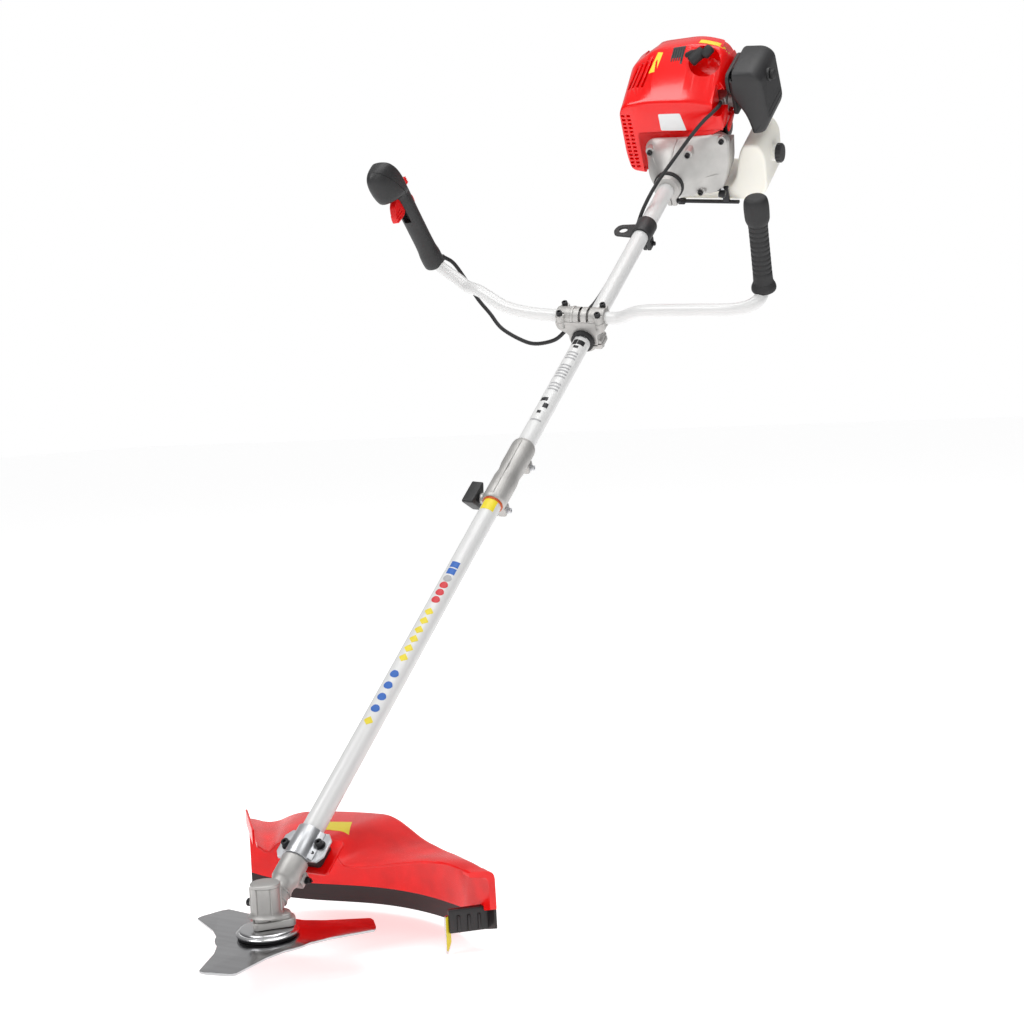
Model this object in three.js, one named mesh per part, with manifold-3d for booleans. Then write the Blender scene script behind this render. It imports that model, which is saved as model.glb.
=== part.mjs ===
// Brush cutter: two-stroke engine, two-piece drive tube, bull handlebar, bevel gear head,
// three-tooth blade and a fan-shaped guard. Millimetres, +Z up along the blade axis.
// The origin is the middle of the harness eye. -Y is the cutting end, +Y the engine,
// +X the operator's left, -X the operator's right, where the throttle grip is.
import * as THREE from 'three';
import { mergeVertices } from 'three/addons/utils/BufferGeometryUtils.js';
import Module from 'manifold-3d';

const wasm = await Module();
wasm.setup();

// ---------------------------------------------------------------- driving dimensions
const GAP = 0.3; // clearance between pieces that touch in the real machine
const RISE = THREE.MathUtils.degToRad(38.2); // the tube climbs at this angle from the blade plane
const TURN = THREE.MathUtils.degToRad(8); // handlebar and engine are clocked about the tube
const CROSSING = 29; // height of the tube axis over the blade plane at the blade axis
const TUBE_R = 14;
const TUBE_WALL = 1.6;
const TUBE_START = 46.5;
const TUBE_JOINT = 777;
const TUBE_END = 1562;
const EYE = [-38, 1405, -1]; // harness eye in the tube frame: across, along, above
const BLADE_R = 128;
const BLADE_T = 3;
const GUARD_R = 258;
const GUARD_FROM = 42; // degrees round the blade axis, measured from +X
const GUARD_TO = 134;
const BAR_R = 10;
const ENGINE = 1612; // where the front of the shroud stands along the tube

// ---------------------------------------------------------------- solid helpers
function toSolid(geometry) {
  const bare = geometry.index ? geometry.toNonIndexed() : geometry.clone();
  bare.deleteAttribute('normal');
  bare.deleteAttribute('uv');
  const merged = mergeVertices(bare, 1e-4);
  return new wasm.Manifold(new wasm.Mesh({
    numProp: 3,
    vertProperties: new Float32Array(merged.attributes.position.array),
    triVerts: new Uint32Array(merged.index.array),
  }));
}

function toGeometry(body) {
  const mesh = body.getMesh();
  const geometry = new THREE.BufferGeometry();
  geometry.setAttribute('position', new THREE.BufferAttribute(new Float32Array(mesh.vertProperties), 3));
  geometry.setIndex(new THREE.BufferAttribute(new Uint32Array(mesh.triVerts), 1));
  geometry.computeVertexNormals();
  return geometry;
}

const join = (...bodies) => bodies.reduce((whole, body) => whole.add(body));
const cut = (body, ...tools) => tools.reduce((rest, tool) => rest.subtract(tool), body);

function box(x0, x1, y0, y1, z0, z1) {
  const geometry = new THREE.BoxGeometry(x1 - x0, y1 - y0, z1 - z0);
  geometry.translate((x0 + x1) / 2, (y0 + y1) / 2, (z0 + z1) / 2);
  return toSolid(geometry);
}

// A turned piece: profile points are [radius, distance] from `from` towards `to`.
function turned(profile, from, to, sides = 18) {
  const points = profile.map(([radius, along]) => new THREE.Vector2(radius, along));
  const geometry = new THREE.LatheGeometry(points, sides);
  const start = new THREE.Vector3(...from);
  const direction = new THREE.Vector3(...to).sub(start).normalize();
  const spin = new THREE.Quaternion().setFromUnitVectors(new THREE.Vector3(0, 1, 0), direction);
  geometry.applyQuaternion(spin);
  geometry.translate(start.x, start.y, start.z);
  return outward(toSolid(geometry), geometry);
}

function outward(body, geometry) {
  if (body.volume() > 0) return body;
  const flipped = geometry.index ? geometry.toNonIndexed() : geometry.clone();
  const position = flipped.attributes.position;
  for (let i = 0; i < position.count; i += 3) {
    const hold = [position.getX(i + 1), position.getY(i + 1), position.getZ(i + 1)];
    position.setXYZ(i + 1, position.getX(i + 2), position.getY(i + 2), position.getZ(i + 2));
    position.setXYZ(i + 2, ...hold);
  }
  return toSolid(flipped);
}

const span = (from, to) => Math.hypot(to[0] - from[0], to[1] - from[1], to[2] - from[2]);

function rod(radius, from, to, sides = 18) {
  const length = span(from, to);
  return turned([[0, 0], [radius, 0], [radius, length], [0, length]], from, to, sides);
}

function cone(r0, r1, from, to, sides = 18) {
  const length = span(from, to);
  return turned([[0, 0], [r0, 0], [r1, length], [0, length]], from, to, sides);
}

function ring(outer, inner, from, to, sides = 18) {
  const length = span(from, to);
  const profile = [[inner, 0], [outer, 0], [outer, length], [inner, length], [inner, 0]];
  return turned(profile, from, to, sides);
}

// A polygon with rounded corners, drawn in the local XY plane.
function softShape(points, radius) {
  const shape = new THREE.Shape();
  points.forEach((point, i) => {
    const corner = new THREE.Vector2(...point);
    const before = new THREE.Vector2(...points[(i + points.length - 1) % points.length]);
    const after = new THREE.Vector2(...points[(i + 1) % points.length]);
    const reach = Math.min(radius, corner.distanceTo(before) / 2.1, corner.distanceTo(after) / 2.1);
    const enter = corner.clone().add(before.sub(corner).setLength(reach));
    const leave = corner.clone().add(after.sub(corner).setLength(reach));
    if (i === 0) shape.moveTo(enter.x, enter.y);
    else shape.lineTo(enter.x, enter.y);
    shape.quadraticCurveTo(corner.x, corner.y, leave.x, leave.y);
  });
  shape.closePath();
  return shape;
}

// Extrudes an XY outline upwards from z0 to z1.
function slab(points, radius, z0, z1, steps = 3) {
  const geometry = new THREE.ExtrudeGeometry(softShape(points, radius), {
    depth: z1 - z0, bevelEnabled: false, curveSegments: steps,
  });
  geometry.translate(0, 0, z0);
  return toSolid(geometry);
}

// Extrudes an outline drawn across and above the tube, [x, z], along it from y0 to y1.
function section(points, radius, y0, y1, steps = 3) {
  const body = slab(points.map(([x, z]) => [x, -z]), radius, 0, y1 - y0, steps);
  return body.rotate([-90, 0, 0]).translate([0, y0, 0]);
}

// Extrudes an outline drawn in the YZ plane, [y, z], across it from x0 to x1.
function across(points, radius, x0, x1, steps = 3) {
  const turn = new THREE.Matrix4().makeBasis(new THREE.Vector3(0, 1, 0),
    new THREE.Vector3(0, 0, 1), new THREE.Vector3(1, 0, 0));
  return slab(points, radius, x0, x1, steps).transform(turn.elements);
}

// Joins rings that each hold the same number of points, with flat ends.
function loft(rings) {
  const count = rings[0].length;
  const vertices = [];
  const corner = (i, j) => rings[i][(j + count) % count];
  const face = (a, b, c) => vertices.push(...a, ...b, ...c);
  for (let i = 0; i + 1 < rings.length; i += 1) {
    for (let j = 0; j < count; j += 1) {
      face(corner(i, j), corner(i, j + 1), corner(i + 1, j + 1));
      face(corner(i, j), corner(i + 1, j + 1), corner(i + 1, j));
    }
  }
  for (const [index, order] of [[0, -1], [rings.length - 1, 1]]) {
    const flat = flatten(rings[index]);
    for (const [a, b, c] of THREE.ShapeUtils.triangulateShape(flat, [])) {
      const [p, q] = order > 0 ? [b, c] : [c, b];
      face(rings[index][a], rings[index][p], rings[index][q]);
    }
  }
  const geometry = new THREE.BufferGeometry();
  geometry.setAttribute('position', new THREE.BufferAttribute(new Float32Array(vertices), 3));
  return outward(toSolid(geometry), geometry);
}

// Lays a flat ring of points out in its own plane, keeping its direction round.
function flatten(ring3) {
  const points = ring3.map((point) => new THREE.Vector3(...point));
  const normal = new THREE.Vector3();
  points.forEach((point, i) => normal.add(point.clone().cross(points[(i + 1) % points.length])));
  normal.normalize();
  const side = points[1].clone().sub(points[0]).normalize();
  const up = normal.clone().cross(side);
  return points.map((point) => new THREE.Vector2(point.dot(side), point.dot(up)));
}

// A round bar or tube along a smooth path.
function bent(points, radius, steps, sides = 12, tension = 0.5) {
  const path = new THREE.CatmullRomCurve3(points.map((point) => new THREE.Vector3(...point)),
    false, 'catmullrom', tension);
  const shape = new THREE.Shape();
  for (let i = 0; i < sides; i += 1) {
    const angle = (i / sides) * Math.PI * 2;
    const place = [Math.cos(angle) * radius, Math.sin(angle) * radius];
    if (i === 0) shape.moveTo(...place);
    else shape.lineTo(...place);
  }
  shape.closePath();
  const geometry = new THREE.ExtrudeGeometry(shape, { steps, extrudePath: path, bevelEnabled: false });
  return outward(toSolid(geometry), geometry);
}

const polar = (radius, degrees) => {
  const angle = THREE.MathUtils.degToRad(degrees);
  return [radius * Math.cos(angle), radius * Math.sin(angle)];
};

// Straight interpolation through a short list of [position, value] pairs.
function between(table, at) {
  if (at <= table[0][0]) return table[0][1];
  for (let i = 1; i < table.length; i += 1) {
    const [x0, v0] = table[i - 1];
    const [x1, v1] = table[i];
    if (at <= x1) return v0 + ((v1 - v0) * (at - x0)) / (x1 - x0);
  }
  return table[table.length - 1][1];
}

// ---------------------------------------------------------------- frames
// blade frame: origin in the middle of the blade. tube frames: Y runs up the tube.
const blade = new THREE.Matrix4();
const lower = new THREE.Matrix4().makeTranslation(0, 0, CROSSING)
  .multiply(new THREE.Matrix4().makeRotationX(RISE));
const upper = lower.clone().multiply(new THREE.Matrix4().makeRotationY(TURN));
const eyeAt = new THREE.Vector3(...EYE).applyMatrix4(upper);
const toOrigin = new THREE.Matrix4().makeTranslation(-eyeAt.x, -eyeAt.y, -eyeAt.z);

const part = new THREE.Group();
part.name = 'brush_cutter';

const LOOKS = {
  casting: [0xb5b2ad, 0.55, 0.7],
  steel: [0xc8c8c8, 0.25, 1.0],
  zinc: [0xc9cbd0, 0.35, 0.9],
  black: [0x222224, 0.6, 0.0],
  bolt: [0x18181a, 0.45, 0.5],
  red: [0xd5140c, 0.3, 0.0],
  white: [0xe9e9ec, 0.3, 0.2],
  tank: [0xeeece6, 0.4, 0.0],
  brass: [0xb79a5a, 0.4, 0.9],
};

function keep(name, body, frame, look) {
  const geometry = toGeometry(body);
  geometry.applyMatrix4(new THREE.Matrix4().multiplyMatrices(toOrigin, frame));
  const [color, roughness, metalness] = LOOKS[look];
  const mesh = new THREE.Mesh(geometry, new THREE.MeshStandardMaterial({ color, roughness, metalness }));
  mesh.name = name;
  part.add(mesh);
}

// Moves a solid from one frame to another before it is joined there.
function carry(body, from, to) {
  const matrix = to.clone().invert().multiply(from);
  return body.transform(matrix.elements);
}

// ---------------------------------------------------------------- cutting head
const PINION_SHARE = 21; // half angle of the pinion cone, degrees
const WHEEL_SHARE = 29; // half angle of the wheel cone, degrees

function bevelGear(teeth, share, near, far, boreR, up) {
  const rings = [];
  for (const distance of [near, far]) {
    const radius = distance * Math.tan(THREE.MathUtils.degToRad(share));
    const points = [];
    for (let i = 0; i < teeth * 2; i += 1) {
      const [x, y] = polar(i % 2 ? radius * 0.86 : radius, (i * 180) / teeth);
      points.push([x, y, distance]);
    }
    rings.push(points);
  }
  const blank = cut(loft(rings), rod(boreR, [0, 0, near - 5], [0, 0, far + 5], 16));
  return up ? blank : blank.rotate([-90, 0, 0]);
}

function gearCase() {
  const kite = [[0, -26], [34, 13], [16, 32], [-16, 32], [-34, 13]];
  const inner = kite.map(([x, y]) => [x * 0.86, y * 0.86]);
  const tower = join(
    slab(kite, 9, 13.2, 22),
    slab(inner, 8, 22, 28),
    cone(21, 17.5, [0, 0, 28], [0, 0, 33]),
    rod(17.5, [0, 0, 32], [0, 0, 62]),
    ...[0, 60, 120, 180, 240, 300].map((turn) => box(-1, 1, -19, -16, 28, 60).rotate([0, 0, turn])),
    cone(5.5, 4.6, [-15, 0, 39], [-22, 0, 39]),
  );
  const arm = join(
    rod(15, [0, 6, 0], [0, 48, 0]),
    cone(15, 17.2, [0, 40, 0], [0, 50, 0]),
    rod(17.2, [0, 49, 0], [0, 76, 0]),
    box(-14, 14, 52, 68, -25, -12),
    ...[20, 30].map((along) => ring(16.4, 10, [0, along, 0], [0, along + 3, 0])),
  );
  const hollow = join(
    rod(14.6, [0, 0, 8], [0, 0, 70]),
    rod(3.1, [-30, 0, 39], [-10, 0, 39], 12),
  );
  const armHollow = join(
    rod(11.8, [0, 4, 0], [0, TUBE_START, 0]),
    rod(TUBE_R + GAP, [0, TUBE_START - 0.5, 0], [0, 90, 0]),
    box(-1.5, 1.5, 44, 90, -30, -8),
  );
  const casting = join(tower, carry(arm, lower, blade));
  return cut(casting, hollow, carry(armHollow, lower, blade));
}

function bladeShape() {
  const outline = [];
  const middle = 42.1;
  for (let arm = 0; arm < 3; arm += 1) {
    const at = middle + arm * 120;
    const spot = (radius, offset) => {
      const [x, y] = polar(radius, at);
      const [dx, dy] = polar(offset, at + 90);
      return [x + dx, y + dy];
    };
    outline.push(spot(70, -34), spot(125, -23), spot(BLADE_R, -14), spot(BLADE_R, 14));
    outline.push(spot(125, 23), spot(70, 34));
    for (const turn of [44, 52, 60, 68, 76]) outline.push(polar(63, at + turn));
  }
  return cut(slab(outline, 0.6, -BLADE_T / 2, BLADE_T / 2, 1),
    rod(12.8, [0, 0, -5], [0, 0, 5]));
}

function cuttingHead() {
  keep('gear_case', gearCase(), blade, 'casting');
  keep('gear_case_cap', join(
    turned([[0, 0], [17.5, 0], [17.5, 3.5], [14.5, 5], [0, 5]], [0, 0, 62.3], [0, 0, 70]),
    rod(14.2, [0, 0, 59], [0, 0, 63]),
  ), blade, 'casting');
  keep('grease_plug', join(
    rod(4.6, [-28, 0, 39], [-22.5, 0, 39], 12),
    rod(2.7, [-23, 0, 39], [-15.5, 0, 39], 12),
  ), blade, 'bolt');
  keep('output_bearing', ring(14.2, 6.4, [0, 0, 14], [0, 0, 21]), blade, 'steel');
  keep('bevel_wheel', bevelGear(15, WHEEL_SHARE, 17, 23, 4.4, true).translate([0, 0, CROSSING]),
    blade, 'steel');
  keep('output_shaft', join(
    rod(6, [0, 0, -1.5], [0, 0, 30]),
    rod(4.1, [0, 0, 29], [0, 0, 58.4]),
    rod(5, [0, 0, -17], [0, 0, -1]),
  ), blade, 'steel');
  keep('adapter_disc', turned([
    [6.3, 0], [12.4, 0], [12.4, 6.4], [37.7, 6.4], [37.7, 7.8], [34, 13.8], [6.3, 13.8], [6.3, 0],
  ], [0, 0, -1.2], [0, 0, 10], 36), blade, 'steel');
  keep('thrust_cup', ring(36, 12.8, [0, 0, 1.8], [0, 0, 4.9], 36), blade, 'black');
  keep('blade', bladeShape(), blade, 'steel');
  keep('lower_washer', turned([[5.3, 0], [14, 0], [30, 2.6], [30, 3.8], [5.3, 3.8], [5.3, 0]],
    [0, 0, -5.7], [0, 0, 0], 30), blade, 'steel');
  keep('blade_nut', cut(rod(11.5, [0, 0, -14.5], [0, 0, -6], 6), rod(5.3, [0, 0, -20], [0, 0, 0])),
    blade, 'steel');
}

// ---------------------------------------------------------------- guard
const ROOF_EDGE = [[42, 250], [46, 236], [55, 215], [60, 187], [66, 140], [72, 116], [108, 116],
  [112, 98], [134, 104]];
const ROOF_HEIGHT = [[42, 50], [50, 56], [66, 54], [76, 60], [88, 86], [119, 86], [127, 72], [134, 84]];

function rimHeight(degrees) {
  const share = (degrees - 90) / 46;
  return -17 + (share > 0 ? 28 : 16) * share ** 4;
}

function guardRings(make, steps = 23) {
  return Array.from({ length: steps + 1 }, (_, i) => {
    const degrees = GUARD_FROM + ((GUARD_TO - GUARD_FROM) * i) / steps;
    return make(degrees).map(([radius, z]) => [...polar(radius, degrees), z]);
  });
}

function guardSection(degrees) {
  const edge = between(ROOF_EDGE, degrees);
  const top = between(ROOF_HEIGHT, degrees);
  const rim = rimHeight(degrees);
  return [[edge, top], [GUARD_R - 6, top], [GUARD_R, top - 6], [GUARD_R, rim], [GUARD_R - 3.5, rim],
    [GUARD_R - 3.5, top - 6], [GUARD_R - 8, top - 3.5], [edge, top - 3.5]];
}

function skirtSection(degrees) {
  const rim = rimHeight(degrees);
  const inner = GUARD_R + GAP;
  return [[inner, rim + 14], [inner + 3, rim + 14], [inner + 3, rim - 24], [inner, rim - 24]];
}

function guardParts() {
  const mounting = carry(box(-34, 34, 77, 127, -28, -24.3), lower, blade);
  keep('guard', join(loft(guardRings(guardSection)), mounting), blade, 'red');
  const foot = box(-38, 7, -4, 4, -24, 0).translate([GUARD_R, 0, rimHeight(GUARD_FROM + 3) - 1])
    .rotate([0, 0, GUARD_FROM + 4]);
  const clear = ring(GUARD_R + GAP, GUARD_R - 3.5 - GAP, [0, 0, rimHeight(90) - 6], [0, 0, 60], 96);
  keep('guard_skirt', join(loft(guardRings(skirtSection)), cut(foot, clear)), blade, 'black');
  keep('line_knife', box(-1, 1, -5, 5, -52, -4).translate([GUARD_R - 38 - GAP - 1, 0, 0])
    .rotate([0, 0, GUARD_FROM + 4]), blade, 'steel');
  const bore = rod(TUBE_R + 0.4, [0, 60, 0], [0, 140, 0]);
  keep('guard_bracket', cut(join(
    section([[-32, 0], [-32, -3], [32, -3], [32, 0]], 0.5, 77.5, 119, 1),
    rod(TUBE_R + 3.4, [0, 77.5, 0], [0, 119, 0]),
  ), box(-40, 40, 70, 130, -40, -3), bore), lower, 'zinc');
  keep('guard_saddle', cut(box(-32, 32, 77.5, 119, -24, -3.4), bore), lower, 'black');
}

// ---------------------------------------------------------------- drive tube
const COUPLING = [713, 841];
const KNOB = [722, 0]; // along and above the tube axis

function driveTube() {
  const inner = TUBE_R - TUBE_WALL;
  keep('lower_tube', ring(TUBE_R, inner, [0, TUBE_START, 0], [0, TUBE_JOINT - 0.5, 0]), lower, 'white');
  keep('upper_tube', ring(TUBE_R, inner, [0, TUBE_JOINT, 0], [0, TUBE_END, 0]), upper, 'white');
  keep('drive_shaft', join(
    rod(4, [0, 15.6, 0], [0, 1583, 0], 12),
    rod(5.5, [0, TUBE_JOINT - 20, 0], [0, TUBE_JOINT + 20, 0], 12),
  ), upper, 'steel');
  keep('pinion', bevelGear(11, PINION_SHARE, 16, 24, 4.3, false), lower, 'steel');
  keep('pinion_bearing', ring(11.5, 4.4, [0, 32, 0], [0, 40, 0]), lower, 'steel');
  keep('coupling_sleeve', couplingSleeve(), upper, 'casting');
  const [along, above] = KNOB;
  keep('coupling_knob', couplingKnob(along, above), upper, 'black');
}

function couplingSleeve() {
  const [from, to] = COUPLING;
  const middle = (from + to) / 2;
  const lugs = [724, 818].map((y) => box(-13, 14.5, y - 8, y + 8, -29, -12));
  const body = join(
    turned([[0, 0], [17.6, 0], [18.6, 6], [18.6, 50], [17.2, 64], [18.6, 78], [18.6, 122], [17.6, 128],
      [0, 128]], [0, from, 0], [0, to, 0]),
    box(-4, 4, from + 8, to - 8, 15, 19.6),
    rod(8, [-22, KNOB[0], 0], [-12, KNOB[0], 0], 16),
    ...lugs,
  );
  return cut(body,
    rod(TUBE_R + GAP, [0, from - 5, 0], [0, to + 5, 0]),
    box(-1.2, 1.2, from - 5, middle - 12, -40, 0),
    box(-1.2, 1.2, middle + 12, to + 5, -40, 0),
    rod(3.3, [-30, KNOB[0], 0], [-10, KNOB[0], 0], 12));
}

function couplingKnob(along, above) {
  const lobes = [[0, 27], [-23.4, -13.5], [23.4, -13.5]];
  const handle = slab(lobes, 7, 25, 43, 3).rotate([0, -90, 0]).rotate([150, 0, 0]);
  return join(
    handle.translate([0, along, above]),
    rod(7, [-26, along, above], [-22.4, along, above], 16),
    rod(3, [-24, along, above], [-15, along, above], 12),
  );
}

// ---------------------------------------------------------------- handlebar
const BAR_ALONG = 1117;
const BAR_ABOVE = 34.5;
const straight = (...across) => across.map((x) => [x, BAR_ALONG, BAR_ABOVE]);
const LEFT_BAR = [...straight(0.6, 28, 56), [72, 1115, 39.5], [92, 1111, 51], [120, 1107, 60],
  [200, 1104, 68], [262, 1106, 71], [290, 1122, 72], [298, 1146, 80], [300, 1160, 130], [302.6, 1161, 216]];
const RIGHT_BAR = [...straight(-0.6, -30, -60), [-95, 1117, 37], [-140, 1124, 42], [-190, 1143, 56],
  [-222, 1160, 52], [-244, 1171, 59], [-264, 1179, 66], [-279, 1183, 76], [-289, 1184, 96],
  [-297, 1183.3, 140]];

function handlebar() {
  const seat = [BAR_ALONG - 17, BAR_ALONG + 17];
  const barBore = join(
    rod(BAR_R + GAP, [-80, BAR_ALONG, BAR_ABOVE], [50, BAR_ALONG, BAR_ABOVE]),
    bent(LEFT_BAR, BAR_R + GAP, 36),
  );
  keep('bar_left', bent(LEFT_BAR, BAR_R, 36), upper, 'white');
  keep('bar_right', bent(RIGHT_BAR, BAR_R, 32), upper, 'white');
  const base = join(
    section([[-45, 34], [-43, 22], [-22, 12], [-24, -8], [24, -8], [24, 12], [43, 22], [45, 34]],
      4, ...seat),
    rod(25, [0, seat[0], 0], [0, seat[1], 0]),
    box(12, 27, seat[0] + 5, seat[1] - 5, -20, 0),
  );
  keep('clamp_base', cut(base, barBore, rod(19.3, [0, 1080, 0], [0, 1150, 0]),
    box(5, 40, 1080, 1150, -11.4, -9)), upper, 'casting');
  keep('clamp_cap', cut(
    section([[-45, 34.6], [-45, 43], [-38, 47], [38, 47], [45, 43], [45, 34.6]], 3, ...seat),
    barBore), upper, 'casting');
  keep('bar_rubber', cut(ring(19, TUBE_R + GAP, [0, BAR_ALONG - 24, 0], [0, BAR_ALONG + 24, 0]),
    box(-3, 3, 1080, 1150, -30, 0)), upper, 'black');
  plainGrip();
  throttleGrip();
}

function plainGrip() {
  const from = [298.5, 1149, 78];
  const to = [303, 1162, 237];
  const length = span(from, to);
  const inner = BAR_R + GAP + 1;
  const profile = [[inner, 0], [18, 1], [19, 8], [15.5, 24], [15, 60], [15.5, 110], [17, length - 34],
    [20.5, length - 14], [18, length - 2], [0, length], [0, length - 14], [inner, length - 14], [inner, 0]];
  keep('grip_left', cut(turned(profile, from, to),
    bent(LEFT_BAR, BAR_R + GAP, 36)), upper, 'black');
}

// Grip frame: Z runs up the grip, X across it, -Y towards the fingers.
const gripAt = [-287, 1184, 74];
const gripUp = new THREE.Vector3(-29, -2, 178).normalize();
const gripSide = new THREE.Vector3(0, 1, 0).cross(gripUp).normalize();
const gripFrame = upper.clone().multiply(new THREE.Matrix4()
  .makeBasis(gripSide, gripUp.clone().cross(gripSide), gripUp)
  .setPosition(...gripAt));

function ovalRing(z, halfX, front, back, shift = 0, count = 16) {
  return Array.from({ length: count }, (_, i) => {
    const angle = (i / count) * Math.PI * 2;
    const depth = Math.sin(angle) > 0 ? back : front;
    return [Math.cos(angle) * halfX, shift + Math.sin(angle) * depth, z];
  });
}

function throttleGrip() {
  const handle = loft([
    ovalRing(0, 13, 13, 13), ovalRing(4, 16, 16, 17), ovalRing(28, 16.5, 16, 17),
    ovalRing(42, 15, 14, 15), ovalRing(100, 15, 14, 15), ovalRing(132, 16, 16, 18),
    ovalRing(150, 17, 20, 19), ovalRing(160, 19, 30, 20), ovalRing(176, 23, 42, 19, -4),
    ovalRing(196, 24, 46, 16, -8), ovalRing(210, 19, 38, 9, -12), ovalRing(216, 9, 22, 2, -16),
  ]);
  const triggerSlot = box(-6.6, 6.6, -60, -3.5, 92, 156);
  const leverSlot = box(-4.6, 4.6, -1, 40, 104, 140);
  const switchSlot = box(-7, 7, 3, 40, 146, 164);
  const barHole = carry(bent(RIGHT_BAR, BAR_R + GAP, 32), upper, gripFrame);
  keep('grip_right', cut(handle, barHole, triggerSlot, leverSlot, switchSlot), gripFrame, 'black');
  const trigger = across([[-21, 150], [-7, 153], [-6, 142], [-9, 128], [-13, 104], [-19, 98], [-40, 99],
    [-38, 108], [-30, 132]], 2, -6, 6);
  keep('throttle_trigger', trigger, gripFrame, 'red');
  keep('lockout_lever', across([[6, 108], [19, 108], [22, 116], [19, 132], [16, 136], [6, 136]], 2, -4, 4),
    gripFrame, 'black');
  keep('stop_switch', join(box(-6, 6, 19.5, 26, 149, 161), box(-6, 6, 6, 21, 151, 159)),
    gripFrame, 'red');
}

// ---------------------------------------------------------------- harness eye
function harnessClamp() {
  const [x, y, z] = EYE;
  const band = join(
    rod(18, [0, y - 19, 0], [0, y + 19, 0]),
    box(-2, 12, y - 12, y + 6, -33, -15),
    slab([[x - 12, y - 15], [x - 18, y], [x - 12, y + 15], [-10, y + 19], [-10, y - 19]], 10,
      z - 2, z + 2),
  );
  keep('harness_clamp', cut(band,
    rod(TUBE_R + GAP, [0, y - 30, 0], [0, y + 30, 0]),
    box(3, 5, y - 30, y + 30, -40, -10),
    rod(7.5, [x, y, z - 10], [x, y, z + 10])), upper, 'black');
}

// ---------------------------------------------------------------- engine
const CYLINDER = [0, 1690]; // across and along the tube axis
const CRANK_TO = 1745;

function clutch() {
  const start = 1530;
  const shell = turned([[TUBE_R + GAP, 0], [23.5, 0], [23.5, 24], [30, 32], [56, 66], [62, 70], [62, 81],
    [45, 81], [45, 56], [20, 50], [20, 40], [TUBE_R + GAP, 40], [TUBE_R + GAP, 0]],
  [0, start, 0], [0, ENGINE, 0], 32);
  const bosses = [[-40, 38], [40, 38], [40, -38], [-40, -38]];
  const corners = bosses.map(([x, z]) => rod(9, [x, 1596, z], [x, 1610.6, z], 16));
  const webs = [0, 60, 120, 180, 240, 300].map((turn) => across(
    [[1555, 22], [1600, 60], [1606, 58], [1606, 50], [1565, 20]], 1, -2, 2).rotate([0, turn, 0]));
  keep('clutch_housing', cut(join(shell, ...corners, ...webs, box(-3, 14, start, start + 16, -34, -19)),
    rod(TUBE_R + GAP, [0, 1500, 0], [0, 1565, 0]),
    rod(20, [0, 1570, 0], [0, 1580.5, 0]),
    rod(45, [0, 1586, 0], [0, 1620, 0], 32),
    box(4, 6, 1500, 1549, -40, 0)), upper, 'casting');
  keep('clutch_drum', turned([[4.4, 0], [11, 0], [11, 5], [41, 5], [41, 25], [38.6, 25], [38.6, 7.5],
    [4.4, 7.5], [4.4, 0]], [0, 1581.5, 0], [0, 1600, 0], 32), upper, 'steel');
  const shoes = cut(rod(37.6, [0, 1591, 0], [0, 1605, 0], 32),
    box(-1.5, 1.5, 1580, 1620, 14, 50), box(-1.5, 1.5, 1580, 1620, -50, -14),
    rod(7.3, [0, 1580, 0], [0, 1620, 0]));
  keep('clutch_shoes', shoes, upper, 'steel');
}

function crankTrain() {
  const [, y] = CYLINDER;
  const outline = [[-60, -34], [-60, 42], [-46, 56], [20, 58], [90, 56], [97, 40], [90, -5], [70, -52],
    [54, -58], [0, -61], [-42, -54]];
  keep('fan_housing', cut(section(outline, 12, 1611.5, 1648),
    rod(54, [0, 1619, 0], [0, 1660, 0], 32), rod(12, [0, 1600, 0], [0, 1630, 0])),
  upper, 'casting');
  const vanes = Array.from({ length: 12 }, (_, i) => box(-1, 1, 1627, 1643, 26, 49)
    .rotate([0, i * 30, 0]));
  keep('flywheel', cut(join(rod(50, [0, 1623, 0], [0, 1628, 0], 32), rod(20, [0, 1626, 0], [0, 1640, 0]),
    ...vanes), rod(7.3, [0, 1600, 0], [0, 1660, 0])), upper, 'casting');
  keep('crankcase', cut(section([[-42, -48], [-42, 30], [-36, 43], [36, 43], [42, 30], [42, -48], [0, -54]],
    5, 1648.5, 1722), rod(33, [0, 1660, 0], [0, 1711, 0], 32), rod(8, [0, 1600, 0], [0, 1760, 0]),
  rod(19.5, [0, y, 0], [0, y, 60])), upper, 'casting');
  keep('crankshaft', join(rod(7, [0, 1589.6, 0], [0, 1679, 0], 16), rod(28, [0, 1668, 0], [0, 1679, 0]),
    rod(6, [0, 1678, 14], [0, 1702, 14], 16), rod(28, [0, 1701, 0], [0, 1709, 0]),
    rod(7, [0, 1708, 0], [0, CRANK_TO, 0], 16)), upper, 'steel');
}

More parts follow.
